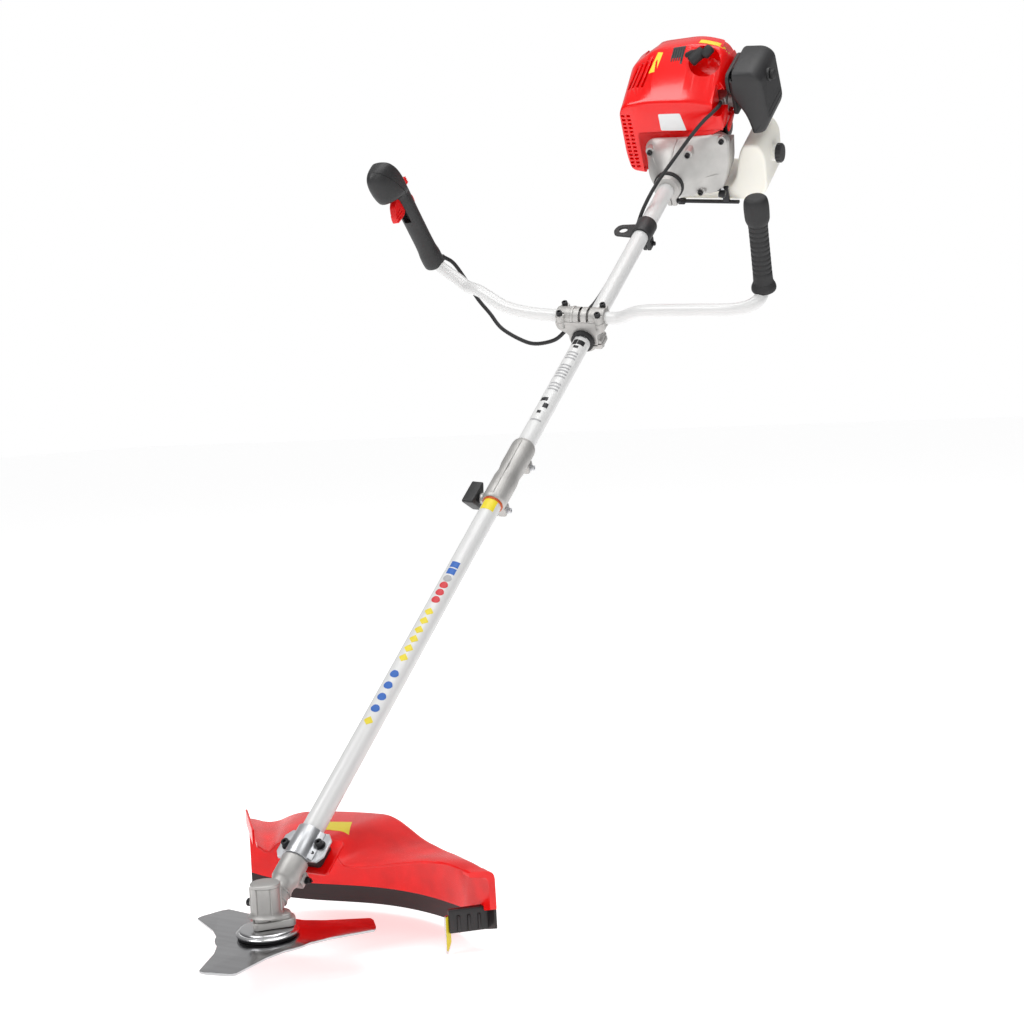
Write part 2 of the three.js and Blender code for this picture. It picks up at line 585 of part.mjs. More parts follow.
function cylinderHead() {
  const [, y] = CYLINDER;
  const finAt = (z) => ring(43, 24, [0, y, z], [0, y, z + 4], 20);
  const fins = Array.from({ length: 7 }, (_, i) => finAt(62 + i * 12));
  const barrel = join(rod(27, [0, y, 52], [0, y, 146]), box(-36, 36, y - 30, y + 30, 43.4, 52.5), ...fins);
  keep('cylinder', cut(barrel, rod(19.5, [0, y, 30], [0, y, 136]), rod(4.4, [14, y, 130], [14, y, 160], 12)),
    upper, 'casting');
  keep('piston', cut(rod(19, [0, y, 84], [0, y, 112]), rod(15, [0, y, 80], [0, y, 106])), upper, 'steel');
  keep('spark_plug', join(rod(4, [14, y, 138], [14, y, 148], 12), rod(7, [14, y, 146.4], [14, y, 154], 6),
    rod(4, [14, y, 153], [14, y, 162], 12)), upper, 'steel');
  keep('plug_boot', cut(bent([[14, y, 157], [16, y, 168], [28, y - 2, 176], [52, y - 8, 182]], 8.5, 10, 12),
    rod(7.4, [14, y, 140], [14, y, 154.4], 12), rod(4.3, [14, y, 150], [14, y, 162.4], 12)), upper, 'black');
  keep('muffler', section([[-90, 50], [-93, 70], [-84, 134], [-48, 138], [-48, 50]], 8, 1655, 1728),
    upper, 'steel');
}

const SHROUD_FRONT = [[-67, -20], [-98, -14], [-102, 20], [-100, 105], [-88, 121], [-40, 127], [40, 127],
  [80, 120], [91, 100], [92, 68], [20, 64], [-65, 62]];
const SHROUD_CREST = [[-67, -24], [-108, -18], [-112, 20], [-109, 116], [-92, 163], [-45, 190], [40, 198],
  [82, 187], [94, 160], [93.5, 68], [20, 64], [-65, 62]];

function shroudShell(inset, from) {
  const stations = [[ENGINE, 0], [ENGINE + 6, 0.06], [ENGINE + 88, 1], [ENGINE + 130, 0.93]];
  const centre = [0, 90];
  return loft(stations.map(([along, share], i) => SHROUD_FRONT.map(([x, z], k) => {
    const blend = [x + (SHROUD_CREST[k][0] - x) * share, z + (SHROUD_CREST[k][1] - z) * share];
    const size = Math.hypot(blend[0] - centre[0], blend[1] - centre[1]);
    const keepShare = 1 - inset / size;
    const slide = i === 0 ? from : i === 3 ? inset : 0;
    return [centre[0] + (blend[0] - centre[0]) * keepShare, along + slide,
      centre[1] + (blend[1] - centre[1]) * keepShare];
  })));
}

function covers() {
  const wall = 3.5;
  keep('shroud', cut(shroudShell(0, 0), shroudShell(wall, wall),
    box(-72, 98, ENGINE + wall, 1760, 40, 72), box(-74, -55, ENGINE + wall, 1760, -40, 60),
    box(-95, -55, ENGINE + 5, 1760, -40, -10), box(-74, 88, ENGINE + 100, 1760, 60, 175),
    box(78, 120, 1650, 1740, 40, 125), box(78, 120, ENGINE - 5, 1655, 98, 140),
    rod(30, [47, 1690, 150], [60, 1660, 230])), upper, 'red');
  keep('starter_housing', cut(join(rod(56, [0, 1724, 0], [0, 1758, 0], 32),
    cone(50, 36, [0, 1757.5, 0], [0, 1768, 0], 32)), rod(52, [0, 1720, 0], [0, 1754, 0], 32),
  rod(3, [24, 1740, 26], [24, 1780, 26], 12),
  ...Array.from({ length: 10 }, (_, i) => box(-2.5, 2.5, 1750, 1775, 18, 34).rotate([0, i * 36, 0]))
    .filter((_, i) => i !== 1)), upper, 'black');
  keep('starter_handle', join(rod(6.5, [6, 1779, 26], [42, 1779, 26], 16),
    rod(2.2, [24, 1742, 26], [24, 1776, 26], 12)), upper, 'black');
}

const CHOKE_PIVOT = [1663, 74]; // along and above the tube axis

function fuelAndAir() {
  keep('carburettor', cut(join(
    box(44.6, 50.5, 1670, 1710, 68, 102),
    box(50, 84, 1668, 1712, 68, 102),
    rod(13, [83, 1690, 85], [96, 1690, 85]),
    ring(10, 8, [66, 1660, 82], [66, 1668.5, 82], 16),
    rod(4.5, [76.6, 1669, 97], [78, 1656, 100], 12),
  ), rod(9, [45, 1690, 85], [100, 1690, 85], 16)), upper, 'casting');
  keep('primer_bulb', turned([[0, 0], [4, 1.5], [6.5, 4], [7.5, 8], [0, 8]], [66, 1655.6, 82], [66, 1670, 82],
    16), upper, 'black');
  keep('choke_lever', join(
    across([[1668, 70], [1668, 79], [1658, 79], [1634, 70], [1629, 66], [1629, 58], [1637, 57]], 2,
      93.3, 96.4),
    rod(3, [84.4, ...CHOKE_PIVOT], [94, ...CHOKE_PIVOT], 12),
  ), upper, 'red');
  const face = [[1644, 44], [1640, 156], [1652, 166], [1726, 164], [1742, 150], [1742, 50], [1730, 26],
    [1656, 30]];
  const base = across(face, 8, 97, 103);
  keep('filter_base', cut(base, rod(9, [90, 1690, 85], [110, 1690, 85], 16)), upper, 'black');
  const shrink = (share) => face.map(([y, z]) => [1690 + (y - 1690) * share, 96 + (z - 96) * share]);
  const layer = (share, x) => shrink(share).map(([y, z]) => [x, y, z]);
  keep('filter_cover', cut(loft([layer(1, 103.3), layer(1, 140), layer(0.96, 158), layer(0.86, 166)]),
    loft([layer(0.94, 100), layer(0.94, 140), layer(0.88, 162)]),
    rod(3.3, [150, 1684, 138], [180, 1684, 138], 12)), upper, 'black');
  keep('cover_knob', join(rod(9, [166.8, 1684, 138], [175, 1684, 138], 6),
    rod(3, [131, 1684, 138], [168, 1684, 138], 12)), upper, 'black');
  const tank = [[-28, -93], [120, -93], [146, -74], [150, 0], [140, 22], [112, 22], [101, 0], [88, -50],
    [70, -68], [-28, -64]];
  const neck = [150, 1690, -24];
  keep('fuel_tank', cut(join(section(tank, 10, 1640, 1742),
    rod(15, [140, ...neck.slice(1)], [156, ...neck.slice(1)])),
  rod(11, [135, ...neck.slice(1)], [160, ...neck.slice(1)])), upper, 'tank');
  keep('fuel_cap', turned([[0, 0], [10.5, 0], [10.5, 6.4], [17.5, 6.4], [17.5, 15], [15, 17], [0, 17]],
    [150, ...neck.slice(1)], [170, ...neck.slice(1)], 20), upper, 'black');
  keep('tank_stand', join(box(-26, 92, 1629, 1636, -94, -89), box(62, 74, 1629, 1636, -92, -60),
    box(62, 74, 1629, 1639, -64.8, -61), box(-26, -12, 1626, 1639, -96, -88)), upper, 'bolt');
}

// ---------------------------------------------------------------- throttle cable
const CABLE = [[-279, 1206, 76], [-268, 1210, 62], [-252, 1203, 40], [-226, 1185, 8], [-200, 1168, -9],
  [-172, 1146, -22], [-130, 1127, -29], [-100, 1120, -30], [-66, 1122, -22], [-46, 1128, -8],
  [-32, 1146, 2], [-20, 1180, 0], [-18, 1230, -6], [-18, 1330, -8], [-21, 1375, -11.5], [-21.6, 1405, -12.5],
  [-20, 1430, -3], [-13, 1447, 15], [-2, 1472, 34], [9, 1503, 47], [26, 1548, 62], [44, 1576, 80],
  [64, 1596, 98], [80, 1608, 109], [86, 1625, 111], [82, 1642, 105], [78, 1655.4, 100.4]];

function throttleCable() {
  keep('throttle_cable', bent(CABLE, 3.4, 76, 8), upper, 'black');
}

cuttingHead();
guardParts();
driveTube();
handlebar();
harnessClamp();
clutch();
crankTrain();
cylinderHead();
covers();
fuelAndAir();
throttleCable();

export default part;
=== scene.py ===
# Brush cutter: the visual model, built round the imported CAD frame. Shapes are drawn in millimetres in
# the machine's own frames, and place() turns them into metres in the row frame.
import math
from collections import namedtuple

import bmesh
import bpy
from mathutils import Matrix, Vector
from mathutils.bvhtree import BVHTree


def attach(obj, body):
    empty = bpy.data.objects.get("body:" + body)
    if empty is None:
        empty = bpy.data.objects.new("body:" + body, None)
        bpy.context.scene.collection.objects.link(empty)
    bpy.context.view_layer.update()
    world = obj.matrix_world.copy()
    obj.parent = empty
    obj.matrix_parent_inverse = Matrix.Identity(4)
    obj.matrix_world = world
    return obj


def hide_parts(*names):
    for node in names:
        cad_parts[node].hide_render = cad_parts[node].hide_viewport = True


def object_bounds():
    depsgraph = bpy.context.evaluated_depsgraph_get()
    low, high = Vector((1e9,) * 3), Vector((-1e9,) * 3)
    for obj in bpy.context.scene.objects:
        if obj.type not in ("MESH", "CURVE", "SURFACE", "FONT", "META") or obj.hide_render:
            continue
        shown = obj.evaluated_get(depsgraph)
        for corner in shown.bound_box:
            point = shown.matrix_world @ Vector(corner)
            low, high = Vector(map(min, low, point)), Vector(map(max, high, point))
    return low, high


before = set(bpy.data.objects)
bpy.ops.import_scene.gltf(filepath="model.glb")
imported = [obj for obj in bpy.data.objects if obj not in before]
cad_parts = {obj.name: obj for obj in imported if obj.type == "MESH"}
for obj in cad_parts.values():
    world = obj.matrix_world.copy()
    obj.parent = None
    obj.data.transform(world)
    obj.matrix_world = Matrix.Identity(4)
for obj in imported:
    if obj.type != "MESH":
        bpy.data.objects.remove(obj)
cad_box = [[float(value) for value in corner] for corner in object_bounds()]

# ---------------------------------------------------------------- frames
RISE = math.radians(38.2)  # of the drive tube above the blade's plane
TURN = math.radians(8)  # of the handlebar and engine about the tube
CROSSING = 29  # height above the blade where the tube's axis meets the blade's axis
EYE = Vector((-38, 1405, -1))  # the harness hole, which is the origin of the row frame
TUBE_R = 14
TUBE_HOLE = TUBE_R + 0.3  # in the parts that the tube passes through
lower_mm = Matrix.Translation((0, 0, CROSSING)) @ Matrix.Rotation(RISE, 4, "X")
upper_mm = lower_mm @ Matrix.Rotation(TURN, 4, "Y")
BLADE = Matrix.Scale(0.001, 4) @ Matrix.Translation(-(upper_mm @ EYE))  # Z up the blade's axis
LOWER = BLADE @ lower_mm  # Y along the tube
UPPER = BLADE @ upper_mm  # the same, turned with the handlebar

GRIP_AT = Vector((-287, 1184, 74))
GRIP_UP = Vector((-29, -2, 178)).normalized()
GRIP_SIDE = Vector((0, 1, 0)).cross(GRIP_UP).normalized()
grip_mm = Matrix((GRIP_SIDE, GRIP_UP.cross(GRIP_SIDE), GRIP_UP)).transposed().to_4x4()
grip_mm.translation = GRIP_AT
GRIP = UPPER @ grip_mm  # Z up the throttle grip, the trigger on its -Y side


# ---------------------------------------------------------------- camera, light and floor
CAMERA_AT = (1.28668, -2.57286, -0.26839)
CAMERA_TURN, CAMERA_TIP, CAMERA_ROLL = (math.radians(value) for value in (30.919, 4.228, -2.853))
LENS = 57.4
FLOOR_GLOW = 0.62  # keeps the floor as pale as the backdrop
WORLD_LIGHT = 0.5


def camera():
    back = Vector((math.sin(CAMERA_TURN) * math.cos(CAMERA_TIP),
                   -math.cos(CAMERA_TURN) * math.cos(CAMERA_TIP), math.sin(CAMERA_TIP)))
    level = Vector((math.cos(CAMERA_TURN), math.sin(CAMERA_TURN), 0))
    rise = back.cross(level)
    right = level * math.cos(CAMERA_ROLL) + rise * math.sin(CAMERA_ROLL)
    above = rise * math.cos(CAMERA_ROLL) - level * math.sin(CAMERA_ROLL)
    data = bpy.data.cameras.new("camera")
    data.sensor_width = 36
    data.lens = LENS
    data.clip_end = 50
    eye = bpy.data.objects.new("camera", data)
    bpy.context.collection.objects.link(eye)
    eye.matrix_world = Matrix.Translation(CAMERA_AT) @ Matrix((right, above, back)).transposed().to_4x4()
    bpy.context.scene.camera = eye


def area_light(name, spot, towards, size, power):
    data = bpy.data.lights.new(name, "AREA")
    data.size = size
    data.energy = power
    lamp = bpy.data.objects.new(name, data)
    bpy.context.collection.objects.link(lamp)
    lamp.location = spot
    lamp.rotation_euler = (Vector(towards) - Vector(spot)).to_track_quat("-Z", "Y").to_euler()


def studio():
    floor_at = cad_box[0][2] - 0.0005
    bpy.ops.mesh.primitive_plane_add(size=40, location=(0, 0, floor_at))
    floor = bpy.context.object
    floor.name = "studio_floor"
    floor.data.materials.append(surface("floor_white", (0.86, 0.86, 0.86), 0.8, spread=0.01, depth=0,
                                        glow=FLOOR_GLOW, glow_color=(1, 1, 1, 1)))
    backdrop()
    area_light("key", (-1.2, -2.6, 2.4), (0, -0.4, -0.4), 1.6, 46)
    area_light("top", (0.4, -0.2, 3.0), (0, -0.4, -0.4), 2.4, 44)
    area_light("engine_fill", (1.6, -1.4, 1.2), (0.05, 0.2, 0.2), 0.9, 7)
    bpy.context.scene.view_settings.view_transform = "Standard"


def backdrop():
    """A world that is darker at both sides, so that round parts get soft edges, and seen as white."""
    world = bpy.data.worlds.new("studio")
    bpy.context.scene.world = world
    world.use_nodes = True
    tree = world.node_tree
    around = add_node(tree, "TexCoord").outputs["Generated"]
    around = add_node(tree, "Mapping", Vector=around, Rotation=(0, 0, math.radians(-31)))
    split = add_node(tree, "SeparateXYZ", Vector=around.outputs["Vector"])
    side = add_node(tree, "Math", Value=split.outputs["X"])
    side.operation = "ABSOLUTE"
    feed(tree, tree.nodes["Background"].inputs["Color"],
         add_ramp(tree, side.outputs[0], (0.42, (1, 1, 1)), (0.85, (0.3, 0.3, 0.31))))
    feed(tree, tree.nodes["Background"].inputs["Strength"], WORLD_LIGHT)
    seen = add_node(tree, "Background", Color=(1, 1, 1, 1))
    pick = add_node(tree, "MixShader", Fac=add_node(tree, "LightPath").outputs["Is Camera Ray"])
    feed(tree, pick.inputs[1], tree.nodes["Background"].outputs[0])
    feed(tree, pick.inputs[2], seen.outputs[0])
    feed(tree, tree.nodes["World Output"].inputs["Surface"], pick.outputs[0])


# ---------------------------------------------------------------- materials
def feed(tree, socket, value):
    """Gives a node's input a value, or links it where the value is another node's output."""
    if isinstance(value, bpy.types.NodeSocket):
        tree.links.new(value, socket)
    else:
        socket.default_value = value


def add_node(tree, kind, **inputs):
    node = tree.nodes.new("ShaderNode" + kind)
    for name, value in inputs.items():
        feed(tree, node.inputs[name.replace("_", " ")], value)
    return node


def add_ramp(tree, fac, *stops):
    ramp = add_node(tree, "ValToRGB", Fac=fac)
    for element, (position, color) in zip(ramp.color_ramp.elements, stops):
        element.position = position
        element.color = (*color, 1)
    return ramp.outputs["Color"]


SOCKETS = {
    "coat": "Coat Weight",
    "coat_rough": "Coat Roughness",
    "under": "Subsurface Weight",
    "under_radius": "Subsurface Radius",
    "under_scale": "Subsurface Scale",
    "glow": "Emission Strength",
    "glow_color": "Emission Color",
}


def surface(name, color, rough, metal=0.0, spread=0.06, grain=700, depth=0.06, patch=12,
            rough_spread=0.05, stretch=(1, 1, 1), **sockets):
    """A shader whose colour drifts softly in patches, with a fine grain in its gloss and its normal."""
    material = bpy.data.materials.new(name)
    material.use_nodes = True
    tree = material.node_tree
    shader = tree.nodes["Principled BSDF"]
    shader.inputs["Metallic"].default_value = metal
    for socket, value in sockets.items():
        shader.inputs[SOCKETS[socket]].default_value = value
    where = add_node(tree, "Mapping", Vector=add_node(tree, "TexCoord").outputs["Object"], Scale=stretch)
    where = where.outputs["Vector"]
    cloud = add_node(tree, "TexNoise", Vector=where, Scale=patch, Detail=4).outputs["Fac"]
    darker = [value * (1 - spread) for value in color]
    lighter = [min(1, value * (1 + spread)) for value in color]
    feed(tree, shader.inputs["Base Color"], add_ramp(tree, cloud, (0.3, darker), (0.7, lighter)))
    fine = add_node(tree, "TexNoise", Vector=where, Scale=grain, Detail=3).outputs["Fac"]
    gloss = add_node(tree, "MapRange", Value=fine, To_Min=max(0.02, rough - rough_spread),
                     To_Max=rough + rough_spread)
    feed(tree, shader.inputs["Roughness"], gloss.outputs["Result"])
    if depth:
        bump = add_node(tree, "Bump", Strength=depth, Distance=0.0004, Height=fine)
        feed(tree, shader.inputs["Normal"], bump.outputs["Normal"])
    return material


# ---------------------------------------------------------------- shapes in millimetres
Shape = namedtuple("Shape", "points faces")
END_STEPS = ((1, 0), (0.5, 0.134), (0.134, 0.5), (0, 1))  # inset and rise of a rounded edge
TINY = 1e-6


def vectors(points):
    return [Vector(point) for point in points]


def revolve(profile, start, end, sides=48):
    """Turns [radius, distance along start-end] round that line. A profile may close on itself."""
    start, end = Vector(start), Vector(end)
    axis = (end - start).normalized()
    side = axis.orthogonal().normalized()
    up = axis.cross(side)
    loop = profile[0] == profile[-1]
    rows = profile[:-1] if loop else profile
    points, faces, rings = [], [], []
    for radius, along in rows:
        centre = start + axis * along
        count = sides if radius > TINY else 1
        rings.append(range(len(points), len(points) + count))
        for i in range(count):
            angle = math.tau * i / sides
            points.append(centre + (side * math.cos(angle) + up * math.sin(angle)) * radius)
    pairs = list(zip(rings, rings[1:])) + ([(rings[-1], rings[0])] if loop else [])
    for low, high in pairs:
        for i in range(sides):
            j = (i + 1) % sides
            corners = [low[i % len(low)], low[j % len(low)], high[j % len(high)], high[i % len(high)]]
            faces.append(tuple(dict.fromkeys(corners)))
    return Shape(points, [face for face in faces if len(face) > 2])


def rod(radius, start, end, edge=0.5, sides=36):
    """A round bar between two points, with rounded ends."""
    length = (Vector(end) - Vector(start)).length
    low = [(max(0, radius - edge * inset), edge * rise) for inset, rise in END_STEPS]
    high = [(r, length - along) for r, along in reversed(low)]
    return revolve([(0, 0), *low, *high, (0, length)], start, end, sides)


def ring(outer, inner, start, end, edge=0.5, sides=48):
    length = (Vector(end) - Vector(start)).length
    low = [(outer - edge * inset, edge * rise) for inset, rise in END_STEPS]
    high = [(r, length - along) for r, along in reversed(low)]
    return revolve([(inner, 0), *low, *high, (inner, length), (inner, 0)], start, end, sides)


def rod_along(radius, start, end, edge=0.5, sides=36):
    """A rod on the tube's own axis, from one place along it to another."""
    return rod(radius, (0, start, 0), (0, end, 0), edge, sides)


def ring_along(outer, inner, start, end, edge=0.5, sides=48):
    return ring(outer, inner, (0, start, 0), (0, end, 0), edge, sides)


def rounded(outline, radius, steps=5):
    """Rounds the corners of a closed flat outline; a third value on a point is its own radius."""
    result = []
    count = len(outline)
    for i, point in enumerate(outline):
        reach = point[2] if len(point) > 2 else radius
        here = Vector(point[:2])
        before = Vector(outline[i - 1][:2]) - here
        after = Vector(outline[(i + 1) % count][:2]) - here
        reach = min(reach, before.length / 2.1, after.length / 2.1)
        enter, leave = here + before.normalized() * reach, here + after.normalized() * reach
        for k in range(steps + 1):
            t = k / steps
            result.append(enter * (1 - t) ** 2 + here * 2 * t * (1 - t) + leave * t ** 2)
    return result


def inset_outline(outline, distance):
    """Moves each point of a closed outline inwards along its corner's bisector."""
    area = sum(a.x * b.y - b.x * a.y for a, b in zip(outline, outline[1:] + outline[:1]))
    inwards = distance if area > 0 else -distance
    inset = []
    for i, point in enumerate(outline):
        before = point - outline[i - 1]
        after = outline[(i + 1) % len(outline)] - point
        if before.length < TINY or after.length < TINY:
            before = after if before.length < TINY else before
            after = before if after.length < TINY else after
        normal = Vector((-before.y, before.x)).normalized() + Vector((-after.y, after.x)).normalized()
        if normal.length > TINY:
            point = point + normal.normalized() * inwards
        inset.append(point)
    return inset


def loft(rings):
    """Joins rings of equally many points, with a flat face at each end."""
    count = len(rings[0])
    points = [Vector(point) for ring_points in rings for point in ring_points]
    faces = []
    for i in range(len(rings) - 1):
        for j in range(count):
            k = (j + 1) % count
            faces.append((i * count + j, i * count + k, (i + 1) * count + k, (i + 1) * count + j))
    faces.append(tuple(reversed(range(count))))
    faces.append(tuple(range((len(rings) - 1) * count, len(rings) * count)))
    return Shape(points, faces)


def prism(outline, low, high, corner=2.0, edge=0.6, steps=5):
    """Extrudes a flat outline along Z, with rounded rims."""
    flat = rounded(outline, corner, steps)
    edge = min(edge, (high - low) / 2.2)
    rows = [(inset * edge, low + rise * edge) for inset, rise in END_STEPS]
    rows += [(inset * edge, high - rise * edge) for inset, rise in reversed(END_STEPS)]
    return loft([[(*point, z) for point in inset_outline(flat, inset)] for inset, z in rows])


def swapped(shape, order):
    """The same shape with its axes in another order."""
    return Shape([Vector((p[order[0]], p[order[1]], p[order[2]])) for p in shape.points], shape.faces)


def section(outline, y0, y1, corner=2.0, edge=0.6, steps=5):
    """Extrudes an outline drawn across and above the tube, (x, z), along it."""
    return swapped(prism(outline, y0, y1, corner, edge, steps), (0, 2, 1))


def across(outline, x0, x1, corner=2.0, edge=0.6, steps=5):
    """Extrudes an outline drawn along and above the tube, (y, z), across it."""
    return swapped(prism(outline, x0, x1, corner, edge, steps), (2, 0, 1))


def box(x0, x1, y0, y1, z0, z1, edge=0.5):
    """A box between two places on each axis, with soft edges."""
    corner = min(edge * 1.6, (x1 - x0) / 2.2, (y1 - y0) / 2.2)
    return prism([(x0, y0), (x1, y0), (x1, y1), (x0, y1)], z0, z1, corner, edge, 3)


def moved(shape, matrix):
    return Shape([matrix @ point for point in vectors(shape.points)], shape.faces)


def turned(shape, degrees, axis="Z", about=(0, 0, 0)):
    about = Vector(about)
    spin = Matrix.Translation(about) @ Matrix.Rotation(math.radians(degrees), 4, axis)
    return moved(shape, spin @ Matrix.Translation(-about))


def shifted(shape, offset):
    return moved(shape, Matrix.Translation(offset))


def together(*shapes):
    """Several closed bodies in one shape."""
    points, faces = [], []
    for shape in shapes:
        start = len(points)
        points += vectors(shape.points)
        faces += [tuple(index + start for index in face) for face in shape.faces]
    return Shape(points, faces)


def mesh_of(shape, name="scratch"):
    mesh = bpy.data.meshes.new(name)
    mesh.from_pydata(vectors(shape.points), [], shape.faces)
    body = bmesh.new()
    body.from_mesh(mesh)
    bmesh.ops.remove_doubles(body, verts=body.verts, dist=1e-5)
    bmesh.ops.recalc_face_normals(body, faces=body.faces)
    body.to_mesh(mesh)
    body.free()
    return mesh


def boolean(base, others, how):
    """Joins or cuts closed shapes one after another; a step that would lose the body is an error."""
    body = mesh_of(base)
    for number, other in enumerate(others):
        for own_crossings in (False, True):
            made = boolean_step(body, mesh_of(other), how, own_crossings)
            if len(made.polygons) > 3:
                break
        else:
            raise ValueError(f"boolean step {number} gave nothing")
        body = made
    return Shape([vertex.co.copy() for vertex in body.vertices],
                 [tuple(face.vertices) for face in body.polygons])


def boolean_step(body, tool, how, own_crossings):
    base = bpy.data.objects.new("scratch", body)
    other = bpy.data.objects.new("scratch_tool", tool)
    for scratch in (base, other):
        bpy.context.collection.objects.link(scratch)
    step = base.modifiers.new("step", "BOOLEAN")
    step.operation, step.solver, step.object = how, "EXACT", other
    step.use_self = own_crossings
    bpy.context.view_layer.update()
    made = bpy.data.meshes.new_from_object(base.evaluated_get(bpy.context.evaluated_depsgraph_get()))
    bpy.data.objects.remove(base)
    bpy.data.objects.remove(other)
    return made


def fuse(base, *others):
    """One closed body from several that overlap."""
    return boolean(base, others, "UNION")


def carve(base, *tools):
    """A body with the tools' shapes cut out of it."""
    return boolean(base, tools, "DIFFERENCE")


def smooth_path(points, per=8):
    """The soft curve through the points, with `per` steps between neighbours."""
    points = vectors(points)
    ends = [points[0] * 2 - points[1], *points, points[-1] * 2 - points[-2]]
    path = []
    for i in range(1, len(ends) - 2):
        p0, p1, p2, p3 = ends[i - 1:i + 3]
        for k in range(per):
            t = k / per
            path.append(0.5 * (2 * p1 + (p2 - p0) * t + (2 * p0 - 5 * p1 + 4 * p2 - p3) * t ** 2
                               + (3 * p1 - p0 - 3 * p2 + p3) * t ** 3))
    return path + [points[-1]]


def sweep(path, radius, sides=20):
    """A round tube along a path; radius is a number or a function of the step."""
    path = vectors(path)
    side = (path[1] - path[0]).orthogonal().normalized()
    rings = []
    for i, point in enumerate(path):
        ahead = (path[min(i + 1, len(path) - 1)] - path[max(i - 1, 0)]).normalized()
        side = (side - ahead * side.dot(ahead)).normalized()
        up = ahead.cross(side)
        reach = radius(i) if callable(radius) else radius
        rings.append([point + (side * math.cos(math.tau * k / sides)
                               + up * math.sin(math.tau * k / sides)) * reach for k in range(sides)])
    return loft(rings)


def polar(radius, degrees, z=0.0):
    """A point round the blade's axis, in degrees anticlockwise from +X."""
    angle = math.radians(degrees)
    return Vector((radius * math.cos(angle), radius * math.sin(angle), z))


def between(table, at):
    """Straight interpolation through a short list of (position, value) pairs."""
    if at <= table[0][0]:
        return table[0][1]
    for (x0, v0), (x1, v1) in zip(table, table[1:]):
        if at <= x1:
            return v0 + (v1 - v0) * (at - x0) / (x1 - x0)
    return table[-1][1]


def soft_between(table, at, reach):
    """The same, averaged over a window, so that the corners are soft."""
    steps = 7
    return sum(between(table, at + reach * (2 * k / (steps - 1) - 1)) for k in range(steps)) / steps


def draped(tree, corners, thickness=0.35, steps=8):
    """A thin four-cornered film lying on a surface seen from above; corners are (x, y) in turn."""
    a, b, c, d = (Vector(corner) for corner in corners)
    grid = []
    for i in range(steps + 1):
        for j in range(steps + 1):
            low, high = a.lerp(b, i / steps), d.lerp(c, i / steps)
            flat = low.lerp(high, j / steps)
            hit = tree.ray_cast(Vector((flat.x, flat.y, 400)), Vector((0, 0, -1)))[0]
            grid.append(Vector((flat.x, flat.y, hit.z if hit else grid[-1].z)))
    return slab(grid, steps, thickness)


def slab(grid, steps, thickness):
    """Gives a square grid of points a thickness upwards."""
    row = steps + 1
    count = row * row
    points = [p + Vector((0, 0, 0.08)) for p in grid] + [p + Vector((0, 0, thickness)) for p in grid]
    faces = []
    for i in range(steps):
        for j in range(steps):
            k = i * row + j
            faces.append((k, k + 1, k + row + 1, k + row))
            faces.append((count + k, count + k + row, count + k + row + 1, count + k + 1))
    for i in range(steps):
        for m, n in ((i, i + 1), (steps * row + i, steps * row + i + 1), (i * row, (i + 1) * row),
                     (i * row + steps, (i + 1) * row + steps)):
            faces.append((m, n, count + n, count + m))
    return Shape(points, faces)


# ---------------------------------------------------------------- placing pieces
def finish_mesh(piece, bevel, angle):
    if bevel:
        edge = piece.modifiers.new("edge", "BEVEL")
        edge.width = bevel * 0.001
        edge.segments = 2
        edge.limit_method = "ANGLE"
        edge.angle_limit = math.radians(angle)
        bpy.context.view_layer.update()
        made = bpy.data.meshes.new_from_object(
            piece.evaluated_get(bpy.context.evaluated_depsgraph_get()))
        piece.modifiers.clear()
        piece.data = made
        made.name = piece.name
    piece.data.polygons.foreach_set("use_smooth", [True] * len(piece.data.polygons))
    piece.data.set_sharp_from_angle(angle=math.radians(angle))


def place(name, shape, look, stands_for=None, where=UPPER, body="machine", bevel=0.0,
          angle=38):
    """Makes a piece from a shape in millimetres, in the frame `where`, riding on a CAD body."""
    mesh = mesh_of(moved(shape, Matrix.Scale(1, 4)), name)
    mesh.transform(where)
    piece = bpy.data.objects.new(name, mesh)
    bpy.context.collection.objects.link(piece)
    mesh.materials.append(LOOK[look])
    finish_mesh(piece, bevel, angle)
    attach(piece, body)
    if stands_for:
        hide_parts(stands_for)
    return piece


def bolt(at, towards, head=4.6, tall=6.0, washer=0.0):
    """A socket-head bolt standing at a point, with its hexagon recess at the far end."""
    at, towards = Vector(at), Vector(towards).normalized()
    base = at + towards * (1.2 if washer else 0)
    top = base + towards * tall
    body = carve(rod(head, base, top, 0.7, 32),
                 revolve([(0, 0), (head * 0.5, 0), (head * 0.5, tall), (0, tall)],
                         top - towards * tall * 0.45, top + towards, 6))
    if washer:
        body = together(body, ring(washer, 1.5, at, at + towards * 1.2, 0.3, 32))
    return body


